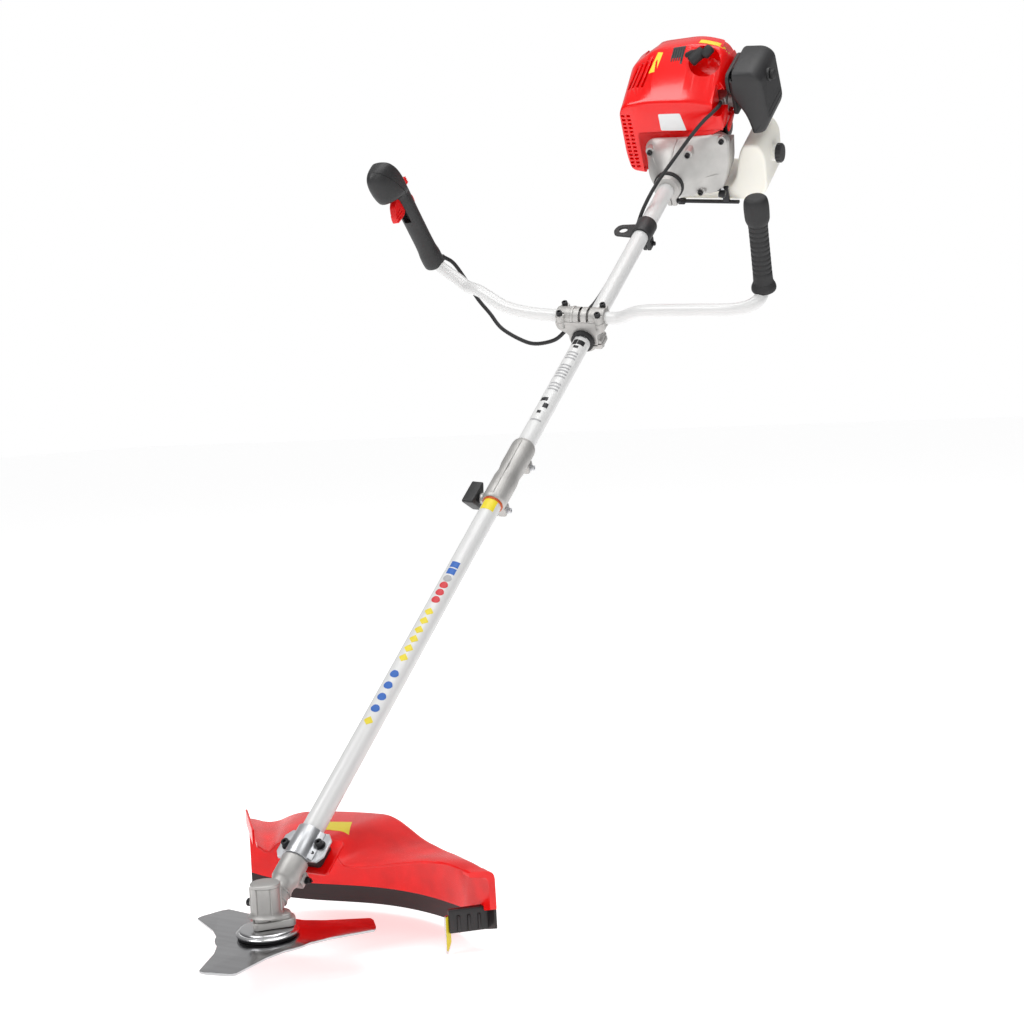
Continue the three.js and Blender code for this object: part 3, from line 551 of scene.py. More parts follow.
def all_looks():
    return {
        "paint": surface("white_paint", (0.76, 0.76, 0.755), 0.36, 0.06, 0.015, 60, 0, rough_spread=0.01,
                         coat=0.1, coat_rough=0.2),
        "cast": surface("cast_aluminium", (0.50, 0.49, 0.475), 0.5, 0.7, 0.12, 1500, 0.3, 25, 0.08),
        "machined": surface("machined_steel", (0.66, 0.66, 0.67), 0.2, 1.0, 0.05, 500, 0.05,
                            stretch=(1, 1, 12)),
        "blade": surface("blade_steel", (0.48, 0.48, 0.49), 0.16, 1.0, 0.08, 260, 0.03, 9,
                         stretch=(1, 9, 1)),
        "zinc": surface("zinc_plate", (0.60, 0.61, 0.63), 0.34, 0.9, 0.06, 90, 0.01, 30, 0.03),
        "black_steel": surface("black_steel", (0.018, 0.018, 0.02), 0.38, 0.4, 0.2, 1200, 0.1),
        "plastic": surface("black_plastic", (0.020, 0.020, 0.021), 0.46, 0, 0.15, 1800, 0.28, 20),
        "soft": surface("grip_rubber", (0.016, 0.016, 0.017), 0.6, 0, 0.15, 2200, 0.3, 20),
        "skirt": surface("skirt_rubber", (0.016, 0.013, 0.014), 0.4, 0, 0.2, 900, 0.1, 15),
        # painted glow: the guard's red plastic emits a little red light of its own, standing in for light
        # coming through it
        "guard": surface("guard_plastic", (0.80, 0.002, 0.002), 0.26, 0, 0.16, 1300, 0.02, 26,
                         0.04, glow=0.08, glow_color=(1, 0, 0, 1)),
        # painted glow: the shroud's red plastic emits a little red light of its own, which brightens it
        # beyond what the lamps give
        "shroud": surface("shroud_plastic", (0.82, 0.002, 0.002), 0.2, 0, 0.05, 1500, 0.01, 14,
                          0.03, coat=0.2, coat_rough=0.05, glow=0.06, glow_color=(1, 0, 0, 1)),
        "control": surface("control_plastic", (0.78, 0.003, 0.004), 0.3, 0, 0.06, 1500, 0.05),
        "tank": surface("tank_plastic", (0.86, 0.84, 0.77), 0.36, 0, 0.03, 900, 0.06, 10,
                        under=0.35, under_radius=(0.02, 0.018, 0.014), under_scale=0.5),
        "yellow": surface("yellow_film", (0.86, 0.70, 0.03), 0.4, 0, 0.06, 900, 0.03),
        "blue": surface("blue_film", (0.02, 0.13, 0.50), 0.4, 0, 0.08, 900, 0.03),
        "red_film": surface("red_film", (0.66, 0.03, 0.04), 0.4, 0, 0.08, 900, 0.03),
        "white_film": surface("white_film", (0.82, 0.82, 0.82), 0.35, 0, 0.03, 900, 0.02),
        "grey_film": surface("grey_film", (0.42, 0.42, 0.43), 0.4, 0, 0.08, 900, 0.03),
        "orange": surface("orange_seal", (0.55, 0.09, 0.01), 0.4, 0, 0.1, 900, 0.05),
    }


# ---------------------------------------------------------------- cutting head
def gear_case():
    kite = [(0, -26), (34, 13), (16, 32), (-16, 32), (-34, 13)]
    inner = [(x * 0.86, y * 0.86) for x, y in kite]
    ribs = [turned(box(-1.1, 1.1, -19.2, -15, 28, 61, 0.5), turn) for turn in range(0, 360, 60)]
    tower = fuse(
        prism(kite, 13.2, 22, 9, 1.2), prism(inner, 21, 28, 8, 2),
        revolve([(0, 0), (22, 0), (19, 2.5), (17.6, 7), (17.5, 34), (0, 34)], (0, 0, 27), (0, 0, 70), 64),
        *ribs, revolve([(0, 0), (5.8, 0), (4.8, 7), (0, 7)], (-15, 0, 39), (-30, 0, 39), 24))
    arm_profile = [(0, 0), (15, 0), (15, 36), (16, 39), (17.2, 41), (17.2, 69), (16.4, 70), (0, 70)]
    arm = fuse(
        revolve(arm_profile, (0, 6, 0), (0, 80, 0), 64),
        *[ring_along(16.3, 10, s, s + 3, 0.8) for s in (20, 30)],
        section([(-13, -25), (13, -25), (16, -10), (-16, -10)], 53, 69, 5, 1),
        section([(10, -9), (19, -13), (19, -4), (10, 4)], 55, 69, 3, 1))
    arm = carve(arm, rod_along(14.3, 46, 90, 0.1, 48),
                rod(2.4, (0, 62, -8.5), (30, 62, -8.5), 0.1, 20),
                box(-1.4, 1.4, 47, 90, -30, -8, 0.1))
    to_blade = BLADE.inverted() @ LOWER
    case = fuse(tower, moved(arm, to_blade))
    case = carve(case, rod(14.7, (0, 0, 8), (0, 0, 27), 0.1))
    place("gear_case_cast", case, "cast", "gear_case", where=BLADE, bevel=0.5)
    cap = revolve([(0, 0), (17.7, 0), (17.9, 0.6), (17.9, 3.4), (17.1, 4.3), (14.9, 5), (0, 5.4)],
                  (0, 0, 61.4), (0, 0, 80), 72)
    place("gear_cap_cast", cap, "cast", "gear_case_cap", where=BLADE)
    plug = together(rod(4.8, (-27.5, 0, 39), (-22, 0, 39), 0.7),
                    rod(3.4, (-22.2, 0, 39), (-20, 0, 39), 0.2))
    place("grease_plug_head", carve(plug, rod(2.2, (-29, 0, 39), (-25, 0, 39), 0.05, 6)), "black_steel",
          "grease_plug", where=BLADE)
    pinch = together(bolt((15, 62, -19), (1, 0, 0), 3.6, 4.4, 5), bolt((24, 62, -19), (-1, 0, 0), 1, 1))
    place("case_pinch_bolt", pinch, "black_steel", where=LOWER)


FIRST_TOOTH = 42.1
BLADE_HOLE = 12.8


def blade_outline():
    """Three broad teeth, with a round waist of radius 63 between each two."""
    outline = []
    for arm in range(3):
        at = FIRST_TOOTH + arm * 120
        for reach, offset in ((70, -34), (125, -23), (128, -14), (128, 14), (125, 23), (70, 34)):
            outline.append(tuple((polar(reach, at) + polar(offset, at + 90))[:2]))
        outline += [tuple(polar(63, at + step)[:2]) for step in (44, 52, 60, 68, 76)]
    return outline


def cutter():
    disc = revolve([(6.3, 0), (12.4, 0), (12.4, 6.4), (37.0, 6.4), (37.7, 6.9), (37.7, 8.1),
                    (36.6, 9.2), (34.6, 9.8), (34.4, 11.2), (33.2, 12.6), (31, 13.4), (6.3, 13.8),
                    (6.3, 0)], (0, 0, -1.2), (0, 0, 10), 96)
    place("adapter_disc_turned", disc, "machined", "adapter_disc", where=BLADE, body="cutter")
    # painted shade: a black ring fills the gap between the adapter disc and the blade, standing in for
    # the shade in that gap and its reflection in the blade
    cup = revolve([(12.8, 0), (35.4, 0), (36, 0.5), (36, 2.6), (35.4, 3.1), (12.8, 3.1), (12.8, 0)],
                  (0, 0, 1.8), (0, 0, 5), 96)
    place("thrust_cup_black", cup, "black_steel", "thrust_cup", where=BLADE, body="cutter")
    plate = prism(blade_outline(), -1.5, 1.5, 2.4, 0.35, 4)
    place("blade_plate", carve(plate, rod(BLADE_HOLE, (0, 0, -5), (0, 0, 5), 0.1)), "blade", "blade",
          where=BLADE, body="cutter")
    washer = revolve([(5.3, 0), (14, 0), (30, 2.2), (30.4, 2.8), (30, 3.8), (5.3, 3.8), (5.3, 0)],
                     (0, 0, -5.7), (0, 0, 0), 72)
    place("cup_washer", washer, "machined", "lower_washer", where=BLADE, body="cutter")
    nut = carve(rod(11.5, (0, 0, -14.5), (0, 0, -6), 0.7, 6), rod(5.3, (0, 0, -20), (0, 0, 0), 0.1))
    place("hex_nut", nut, "machined", "blade_nut", where=BLADE, body="cutter")


# ---------------------------------------------------------------- guard
GUARD_R = 258
GUARD_WALL = 3.5
GUARD_FLARE = 16  # how far its +X end stands out
GUARD_FROM, GUARD_TO = 42, 134  # degrees round the blade, anticlockwise from +X
GUARD_LABEL = ((-52, 152), (10, 156), (-14, 196), (-68, 178))  # seen from above, behind the tube
# by degrees round the blade: how far from its axis the roof starts, and how high it stands
ROOF_EDGE = ((42, 250), (46, 236), (55, 215), (60, 187), (66, 140), (72, 116), (108, 116), (112, 98),
             (134, 104))
ROOF_HEIGHT = ((42, 50), (50, 56), (66, 54), (76, 60), (88, 86), (119, 86), (127, 72), (134, 84))


def rim_height(degrees):
    """The height of the guard's lower rim, which rises towards both ends."""
    share = (degrees - 90) / 46
    return -17 + (28 if share > 0 else 16) * share ** 4


def wall_radius(degrees):
    """The guard's wall, which flares out a little towards its +X end."""
    return GUARD_R + GUARD_FLARE * max(0, (54 - degrees) / 12) ** 1.6


def guard_section(degrees):
    edge = soft_between(ROOF_EDGE, degrees, 3)
    top = soft_between(ROOF_HEIGHT, degrees, 3)
    rim = rim_height(degrees)
    wall = wall_radius(degrees)
    outline = [(edge, top + 1, 1.2), ((edge + wall) / 2, top + 1.5, 8), (wall, top - 1, 9),
               (wall, rim, 1.2), (wall - GUARD_WALL, rim, 1.2), (wall - GUARD_WALL, top - 4, 6),
               ((edge + wall) / 2, top - 2, 8), (edge, top - 2.5, 1.2)]
    return rounded(outline, 1, 4)


def lip_section(degrees):
    """The thick rolled edge round the guard's +X end."""
    top = soft_between(ROOF_HEIGHT, degrees, 3)
    rim = rim_height(degrees)
    wall = wall_radius(degrees)
    outline = [(wall - 30, top + 2.5, 4), (wall + 1.5, top + 0.5, 10), (wall + 2, rim, 2),
               (wall - 6, rim, 2), (wall - 6.5, top - 7, 7), (wall - 30, top - 5, 3)]
    return rounded(outline, 1, 4)


def skirt_section(degrees):
    rim = rim_height(degrees)
    wall = wall_radius(degrees)
    outline = [(wall + 0.3, rim + 14), (wall + 3.3, rim + 14), (wall + 3.3, rim - 24),
               (wall + 0.3, rim - 24)]
    return rounded(outline, 0.8, 2)


def round_the_blade(make, steps, start=GUARD_FROM, end=GUARD_TO):
    """Sweeps a section that depends on the angle round the blade's axis."""
    rings = []
    for i in range(steps + 1):
        degrees = start + (end - start) * i / steps
        rings.append([polar(point.x, degrees, point.y) for point in make(degrees)])
    return loft(rings)


def guard():
    pad = moved(prism([(-34, 77), (34, 77), (34, 127), (-34, 127)], -28, -24.3, 6, 1),
                BLADE.inverted() @ LOWER)
    lip = round_the_blade(lip_section, 6, GUARD_FROM - 0.6, GUARD_FROM + 2.2)
    fin = prism([(-104, 108), (-180, 186), (-182, 184), (-106, 106)], 72, 92, 0.8, 0.6)
    shell = round_the_blade(guard_section, 92)
    place("guard_shell", together(shell, lip, fin, pad), "guard", "guard", where=BLADE)
    tree = BVHTree.FromPolygons(shell.points, shell.faces)
    place("guard_film", draped(tree, GUARD_LABEL), "yellow", where=BLADE)
    foot_turn = GUARD_FROM + 4
    foot = prism([(-50, -4), (6, -5), (6, 6), (-50, 4)], -24, 6, 3, 2)
    foot = turned(shifted(foot, (GUARD_R + 12, 0, rim_height(GUARD_FROM + 3))), foot_turn)
    webs = [turned(shifted(box(-40 + k * 13, -36 + k * 13, -7, 7, -23, -2, 1.2),
                           (GUARD_R + 12, 0, rim_height(GUARD_FROM + 3))), foot_turn) for k in range(3)]
    place("guard_skirt_moulding", together(round_the_blade(skirt_section, 92), fuse(foot, *webs)),
          "skirt", "guard_skirt", where=BLADE)
    knife = turned(across([(-5, -4), (5, -4), (5, -40), (-3, -52), (-5, -50)], -1, 1, 1, 0.3), -52)
    knife_at = (GUARD_R - 39.3, 0, 0)
    place("line_knife_blade", turned(shifted(knife, knife_at), foot_turn), "machined", "line_knife",
          where=BLADE)
    face = turned(across([(-4.4, -5), (4.4, -5), (4.4, -38), (-2.6, -48), (-4.4, -47)], 1.02, 1.3, 1,
                         0.1), -52)
    place("line_knife_film", turned(shifted(face, knife_at), foot_turn), "yellow", where=BLADE)


def bracket():
    plate = section([(-36, -3), (36, -3), (36, 0), (-36, 0)], 77.5, 119, 1, 0.7)
    trims = [prism([(x, 119.8), (x, 109), (x - 10 * math.copysign(1, x), 119.8)], -10, 10, 0.1, 0.1)
             for x in (-36.6, 36.6)]
    trims += [prism([(x, 77), (x, 88), (x - 8 * math.copysign(1, x), 77)], -10, 10, 0.1, 0.1)
              for x in (-36.6, 36.6)]
    lips = [section([(sign * 17, 0), (sign * 24, 0), (sign * 17, 6)], 78.5, 118, 1.5, 0.5)
            for sign in (-1, 1)]
    saddle = fuse(plate, rod_along(TUBE_R + 3.4, 77.5, 119, 0.6, 72), *lips)
    saddle = carve(saddle, box(-40, 40, 70, 130, -40, -3, 0.1),
                   rod_along(TUBE_R + 0.4, 60, 140, 0.1, 72), *trims)
    place("guard_bracket_plate", saddle, "zinc", "guard_bracket", where=LOWER)
    under = carve(prism([(-22, 84), (22, 84), (22, 116), (-22, 116)], -24, -3.4, 6, 1.2),
                  rod_along(TUBE_R + 0.4, 60, 140, 0.1, 72))
    place("guard_saddle_block", under, "plastic", "guard_saddle", where=LOWER)
    bolts = together(*[bolt((x, s, 0), (0, 0, 1), 5, 7.5, 6.6)
                       for x, s in ((-24.5, 96), (24.5, 101))], bolt((20, 88, 1), (0, 0, 1), 2.2, 3))
    place("bracket_bolts", bolts, "black_steel", where=LOWER)


# ---------------------------------------------------------------- drive tube
TUBE_WALL = 1.6
TUBE_FOOT, TUBE_SPLIT, TUBE_TOP = 46.5, 777, 1562


def tubes():
    inner = TUBE_R - TUBE_WALL
    place("lower_tube_painted", ring_along(TUBE_R, inner, TUBE_FOOT, TUBE_SPLIT - 0.5, 0.4, 96), "paint",
          "lower_tube", where=LOWER)
    place("upper_tube_painted", ring_along(TUBE_R, inner, TUBE_SPLIT, TUBE_TOP, 0.4, 96), "paint",
          "upper_tube")


def film(half_width, height_at, along, facing, columns=12):
    """A thin film wrapped on the tube; height_at gives its half height across its width."""
    rings = []
    for i in range(columns + 1):
        x = half_width * (2 * i / columns - 1)
        angle = math.radians(facing) + x / TUBE_R
        ahead = Vector((math.sin(angle), 0, math.cos(angle)))
        half = Vector((0, max(0.3, height_at(abs(x))), 0))
        centre = Vector((0, along, 0))
        low, high = ahead * (TUBE_R + 0.08), ahead * (TUBE_R + 0.32)
        rings.append([centre + low - half, centre + high - half, centre + high + half,
                      centre + low + half])
    return loft(rings)


FILMS_FACE = 20  # degrees round the tube from its top


def tube_films():
    """Plain coloured dots, squares and lozenges in a row up the tube."""
    block, dot, lozenge = lambda x: 5.4, lambda x: math.sqrt(max(0, 36 - x * x)), lambda x: 7 - x
    rows = (("blue", block, (561, 574)), ("red_film", dot, (506, 520, 534)), ("grey_film", dot, (547,)),
            ("yellow", lozenge, (398, 415, 432, 449, 466, 483)), ("blue", dot, (309, 329, 349, 369)),
            ("yellow", lozenge, (288,)))
    for number, (look, height_at, places) in enumerate(rows):
        films = together(*[film(6.2, height_at, along, FILMS_FACE) for along in places])
        place(f"tube_film_{number}", films, look, where=LOWER)
    place("coupling_film", film(11, lambda x: 11, 700, FILMS_FACE), "yellow", where=LOWER)
    dark = [film(half, lambda x, tall=tall: tall, along, turn) for half, tall, along, turn in (
        (4, 6, 1078, -14), (6, 5, 1078, 30), (4, 3, 1066, 10), (6, 4, 936, -6), (4, 5, 922, 24),
        (3, 3, 906, 4), (8, 0.5, 1092, 10))]
    place("upper_film_dark", together(*dark), "black_steel")
    grey = [film(9, lambda x: 1.5, along, 12) for along in (1052, 1045, 1038, 1020, 1013, 1006, 999, 992,
                                                            975, 968, 961, 888)]
    place("upper_film_grey", together(*grey), "grey_film")


def coupling():
    start, end, knob = 713, 841, 722
    profile = [(0, 0), (16.6, 0), (17.8, 1.2), (18.8, 6), (18.9, 50), (17.3, 64), (18.9, 78),
               (18.9, 121), (17.8, 126), (16.6, 128), (0, 128)]
    lugs = [section([(-12, -29), (14, -29), (14.5, -12), (-13, -12)], s - 8, s + 8, 5, 1.5)
            for s in (724, 818)]
    body = fuse(revolve(profile, (0, start, 0), (0, end, 0), 96),
                section([(-4, 14), (4, 14), (3.4, 19.8), (-3.4, 19.8)], start + 6, end - 6, 1.5, 1),
                rod(8.4, (-22, knob, 0), (-12, knob, 0), 1), *lugs)
    body = carve(body, rod_along(TUBE_HOLE, start - 5, end + 5, 0.1, 72),
                 box(-1.2, 1.2, start - 5, 765, -40, 0, 0.1), box(-1.2, 1.2, 789, end + 5, -40, 0, 0.1),
                 rod(3.3, (-30, knob, 0), (-10, knob, 0), 0.1))
    place("coupling_cast", body, "cast", "coupling_sleeve", bevel=0.4)
    place("coupling_seal", ring_along(15.6, TUBE_R + 0.05, start - 3.2, start + 2, 0.6, 72),
          "orange")
    lobes = [(0, 27), (-23.4, -13.5), (23.4, -13.5)]
    handle = Matrix.Rotation(math.radians(150), 4, "X") @ Matrix.Rotation(math.radians(-90), 4, "Y")
    head = shifted(moved(prism(lobes, 25, 43, 6, 1.4), handle), (0, knob, 0))
    knob_body = together(head, rod(7, (-26, knob, 0), (-22.4, knob, 0), 0.5),
                         rod(3, (-24, knob, 0), (-15, knob, 0), 0.2))
    place("coupling_knob_moulding", knob_body, "plastic", "coupling_knob", body="tube_knob")
    bolts = [bolt((14.2, s, -22), (1, 0, 0), 4, 4.5, 5.2) for s in (724, 818)]
    place("coupling_bolts", together(*bolts), "zinc")


# ---------------------------------------------------------------- handlebar
BAR = 1117  # where the handlebar crosses the tube, along it
BAR_ABOVE = 34.5
BAR_R = 10
LEFT_BAR = [(0.6, BAR, BAR_ABOVE), (28, BAR, BAR_ABOVE), (56, BAR, BAR_ABOVE), (72, 1115, 39.5),
            (92, 1111, 51), (120, 1107, 60), (200, 1104, 68), (262, 1106, 71), (290, 1122, 72),
            (298, 1146, 80), (300, 1160, 130), (302.6, 1161, 216)]
RIGHT_BAR = [(-0.6, BAR, BAR_ABOVE), (-30, BAR, BAR_ABOVE), (-60, BAR, BAR_ABOVE), (-95, 1117, 37),
             (-140, 1124, 42), (-190, 1143, 56), (-222, 1160, 52), (-244, 1171, 59), (-264, 1179, 66),
             (-279, 1183, 76), (-289, 1184, 96), (-297, 1183.3, 140)]


def bars():
    for name, points, node in (("left_bar_painted", LEFT_BAR, "bar_left"),
                               ("right_bar_painted", RIGHT_BAR, "bar_right")):
        place(name, sweep(smooth_path(points, 10), BAR_R, 40), "paint", node)


def bar_clamp():
    seat = (BAR - 17, BAR + 17)
    columns = [(x, BAR + s) for x in (-33, 33) for s in (-13, 13)]
    block = fuse(
        section([(-43, 36), (-42, 20), (-24, 9), (-25, -6), (25, -6), (24, 9), (42, 20), (43, 36)],
                *seat, 5, 1.6),
        rod_along(24.5, seat[0], seat[1], 1.4, 72),
        rod(15.5, (-41, BAR, BAR_ABOVE), (41, BAR, BAR_ABOVE), 1.2, 64),
        *[ring(16.6, BAR_R, (x - 2.2, BAR, BAR_ABOVE), (x + 2.2, BAR, BAR_ABOVE), 0.8)
          for x in (-14, 0, 14)],
        *[rod(7.6, (x, s, 22), (x, s, 46), 1) for x, s in columns],
        section([(10, -21), (28, -21), (28, -4), (10, 2)], seat[0] + 4, seat[1] - 4, 4, 1.4))
    block = carve(block, rod_along(19.4, 1080, 1150, 0.1, 72),
                  rod(BAR_R + 0.2, (-80, BAR, BAR_ABOVE), (80, BAR, BAR_ABOVE), 0.1, 48))
    upper_half = box(-60, 60, 1080, 1150, 34.3, 80, 0.1)
    lower_half = box(-60, 60, 1080, 1150, -40, 34.9, 0.1)
    base = carve(block, upper_half, box(5, 40, 1080, 1150, -11.6, -9, 0.1))
    place("clamp_base_cast", base, "cast", "clamp_base", bevel=0.4)
    place("clamp_cap_cast", carve(block, lower_half), "cast", "clamp_cap", bevel=0.4)
    bolts = [bolt((x, s, 46), (0, 0, 1), 4.8, 6.5) for x, s in columns]
    bolts.append(bolt((21, BAR, -21), (0, 0, -1), 4.2, 4))
    place("clamp_bolts", together(*bolts), "black_steel")
    sleeve = carve(ring_along(19, TUBE_HOLE, BAR - 24, BAR + 24, 0.8, 72),
                   box(-3, 3, 1080, 1150, -30, 0, 0.1))
    place("clamp_sleeve", sleeve, "soft", "bar_rubber")


def plain_grip():
    start, end = Vector((298.5, 1149, 78)), Vector((303, 1162, 237))
    length = (end - start).length
    outline = [(11.3, 0), (17.2, 0.3), (19, 3), (18.6, 8), (16.2, 14), (15, 20), (14.6, 60), (14.6, 104)]
    outline += [(15.2, length - 46), (18, length - 38), (18.7, length - 28), (18.7, length - 15),
                (17, length - 5), (12, length - 1), (6, length - 0.2), (0, length)]
    profile = [tuple(point) for point in smooth_path(outline, 4)]
    profile = [(max(radius, 0), along) for radius, along in profile]
    for centre in range(34, 122, 8):
        profile = [(radius - 0.9 * max(0, 1 - ((along - centre) / 1.6) ** 2), along)
                   for radius, along in refine(profile, centre)]
    inner = [(0, length - 14), (11.3, length - 14)]
    place("grip_left_moulding", revolve([*profile[:-1], (0, length), *inner], start, end, 56), "soft",
          "grip_left")


def refine(profile, centre):
    """Adds points to a profile near a groove."""
    extra = [(between([(along, radius) for radius, along in profile], centre + step), centre + step)
             for step in (-1.7, -0.9, 0, 0.9, 1.7)]
    kept = [point for point in profile if abs(point[1] - centre) > 1.8]
    return sorted(kept + extra, key=lambda point: point[1])


def oval(z, half, front, back, shift=0.0, count=40):
    """A section of the throttle grip, with its half width and its depths in front and behind."""
    ring_points = []
    for i in range(count):
        angle = math.tau * i / count
        depth = back if math.sin(angle) > 0 else front
        ring_points.append((math.cos(angle) * half, shift + math.sin(angle) * depth, z))
    return ring_points


def throttle_grip():
    stations = [(0, 10, 10, 10, 0), (1, 14, 14, 14.5, 0), (6, 17.5, 17, 18.4, 0), (24, 18, 17, 18.6, 0),
                (44, 16.4, 15, 16.4, 0), (100, 16.4, 15, 16.4, 0), (130, 16.6, 16, 17, 0),
                (147, 17, 20, 17, 0), (153, 20, 36, 15, -2), (160, 22, 47, 14, -4),
                (176, 23.4, 52, 13, -5), (194, 22.6, 50, 12, -8), (207, 18, 43, 8, -11),
                (214, 11, 29, 4, -15), (216.5, 3, 10, 1, -18)]
    rows = smooth_path(stations, 5)
    handle = loft([oval(*row) for row in rows])
    bar_hole = moved(sweep(smooth_path(RIGHT_BAR, 8), 10.3, 28), GRIP.inverted() @ UPPER)
    shrunk = [oval(row[0], *[value - 0.9 for value in row[1:4]], row[4]) for row in rows[6:-4]]
    blade_cut = shifted(turned(box(-40, 40, -90, 40, -0.5, 0.5, 0.1), -62, "X"), (0, -22, 178))
    seam = carve(blade_cut, loft(shrunk))
    handle = carve(handle, bar_hole, seam, box(-6.6, 6.6, -60, -2, 98, 156, 0.1),
                   box(-4.6, 4.6, -1, 40, 104, 140, 0.1), box(-7, 7, 3, 40, 146, 164, 0.1))
    outlet = moved(rod(5.6, (-288, 1188, 86), (-279.6, 1204.6, 76.8), 1.6), GRIP.inverted() @ UPPER)
    place("grip_right_moulding", together(handle, outlet), "plastic", "grip_right", where=GRIP)
    outline = [(-21, 150), (-7, 153), (-6, 142), (-9, 130), (-13, 121), (-20, 117), (-44, 117),
               (-43, 126), (-33, 142)]
    grooves = [across([(-48, z), (-20, z), (-20, z + 1.5), (-48, z + 1.5)], -8, 8, 0.3, 0.1)
               for z in (120.5, 125.5, 130.5)]
    grooves = [carve(groove, box(-4.6, 4.6, -50, 0, 110, 140, 0.1)) for groove in grooves]
    place("throttle_trigger_moulding", carve(across(outline, -6, 6, 3, 1.4), *grooves), "control",
          "throttle_trigger", where=GRIP, body="trigger")
    lever = across([(6, 108), (19, 108), (24.5, 116), (25, 128), (18, 136), (6, 136)], -4, 4, 5, 1.4)
    place("lockout_lever_moulding", lever, "control", "lockout_lever", where=GRIP, body="lockout")
    ridges = [box(-5.6, 5.6, 26, 28.4, z - 0.6, z + 0.6, 0.3) for z in (150.6, 153.6, 156.6, 159.6)]
    switch = fuse(box(-6, 6, 19.5, 27, 149, 161, 1), box(-6, 6, 6, 21, 151, 159, 0.5), *ridges)
    place("stop_switch_moulding", switch, "control", "stop_switch", where=GRIP, body="switch")
    screws = [bolt((15.2, 2, 18), (1, 0, 0), 2.6, 1.2), bolt((15, 0, 128), (1, 0, 0), 2.6, 1.2)]
    place("grip_screws", together(*screws), "black_steel", where=GRIP)


# ---------------------------------------------------------------- harness eye
def harness_clamp():
    x, y, z = EYE
    band = fuse(rod_along(18, y - 19, y + 19, 1, 72),
                section([(-3, -33), (12, -33), (13, -14), (-3, -14)], y - 12, y + 6, 3, 1.2),
                prism([(x - 12, y - 15), (x - 18, y), (x - 12, y + 15), (-10, y + 19), (-10, y - 19)],
                      z - 2, z + 2, 10, 0.8))
    band = carve(band, rod_along(TUBE_HOLE, y - 30, y + 30, 0.1, 72),
                 box(3, 5, y - 30, y + 30, -40, -10, 0.1),
                 revolve([(0, 0), (8.2, 0), (7.5, 0.8), (7.5, 3.2), (8.2, 4), (0, 4)],
                         (x, y, z - 2), (x, y, z + 2), 48))
    place("harness_clamp_moulding", band, "plastic", "harness_clamp", bevel=0.4)
    place("harness_screw", bolt((12.4, y - 3, -24), (1, 0, 0), 3.8, 4, 5), "black_steel")


# ---------------------------------------------------------------- engine
ENGINE = 1612  # the clutch end of the shroud, along the tube
CYLINDER = 1690  # the cylinder's axis
CLUTCH = 1530  # the front of the clutch housing
FAN_OUTLINE = [(-60, -34), (-60, 42), (-46, 56), (20, 58), (84, 64), (99, 52), (92, -5), (72, -52),
               (54, -58), (0, -61), (-42, -54)]
# along, radius, and how far the section has grown from a circle to the fan housing's outline
FUNNEL = ((CLUTCH, 23.5, 0), (1531, 24.2, 0), (1550, 24.4, 0), (1555, 27, 0), (1564, 35, 0.02),
          (1574, 43, 0.07), (1583, 49, 0.14), (1590, 51, 0.26), (1597, 52, 0.44), (1602, 52, 0.64),
          (1606, 52, 0.84), (1608.5, 52, 0.96), (1611.3, 52, 0.99))
CASE_BOLTS = ((-44, 40, 1590), (32, 42, 1578), (42, -38, 1582), (90, 56, 1600))  # across, above, along


def reach_to(outline, angle):
    """How far the outline lies from the axis in one direction."""
    ahead = Vector((math.cos(angle), math.sin(angle)))
    best = 0
    for a, b in zip(outline, outline[1:] + outline[:1]):
        side = b - a
        cross = ahead.x * side.y - ahead.y * side.x
        if abs(cross) < 1e-9:
            continue
        along = (a.x * side.y - a.y * side.x) / cross
        share = (a.x * ahead.y - a.y * ahead.x) / cross
        if along > 0 and -TINY <= share <= 1 + TINY:
            best = max(best, along)
    return best


def clutch():
    sides = 96
    outline = rounded(FAN_OUTLINE, 14, 6)
    rings = []
    for along, radius, share in FUNNEL:
        row = []
        for k in range(sides):
            angle = math.tau * k / sides
            reach = radius + (reach_to(outline, angle) - radius) * share
            row.append((math.cos(angle) * reach, along, math.sin(angle) * reach))
        rings.append(row)
    bosses = [rod(8.4, (x, along, z), (x, 1611, z), 1.6) for x, z, along in CASE_BOLTS]
    webs = [turned(across([(1552, 24), (1578, 49.5), (1602, reach), (1608, reach), (1600, 40),
                           (1560, 16)], -1.6, 1.6, 2, 1), turn, "Y")
            for turn, reach in ((37, 62), (-47, 62), (132, 58), (5, 58), (70, 80), (100, 76))]
    funnel = fuse(loft(rings), *bosses, *webs, box(-3, 14, CLUTCH + 0.5, CLUTCH + 18, -34, -18, 1.5))
    funnel = carve(funnel, rod_along(TUBE_HOLE, 1500, 1569, 0.1, 72),
                   rod_along(45, 1586, 1620, 0.1, 72), box(4, 6, 1500, 1549, -40, 0, 0.1))
    place("clutch_housing_cast", funnel, "cast", "clutch_housing", bevel=0.5)
    collar = ring_along(27.4, 24.6, 1541, 1549, 1.2, 72)
    place("clutch_collar", collar, "soft")
    bolts = [bolt((x, along, z), (0, -1, 0), 4.8, 4.8) for x, z, along in CASE_BOLTS]
    place("clutch_bolts", together(*bolts, bolt((14, 1538, -27), (1, 0, 0), 3.8, 3.6, 4.6)),
          "black_steel")


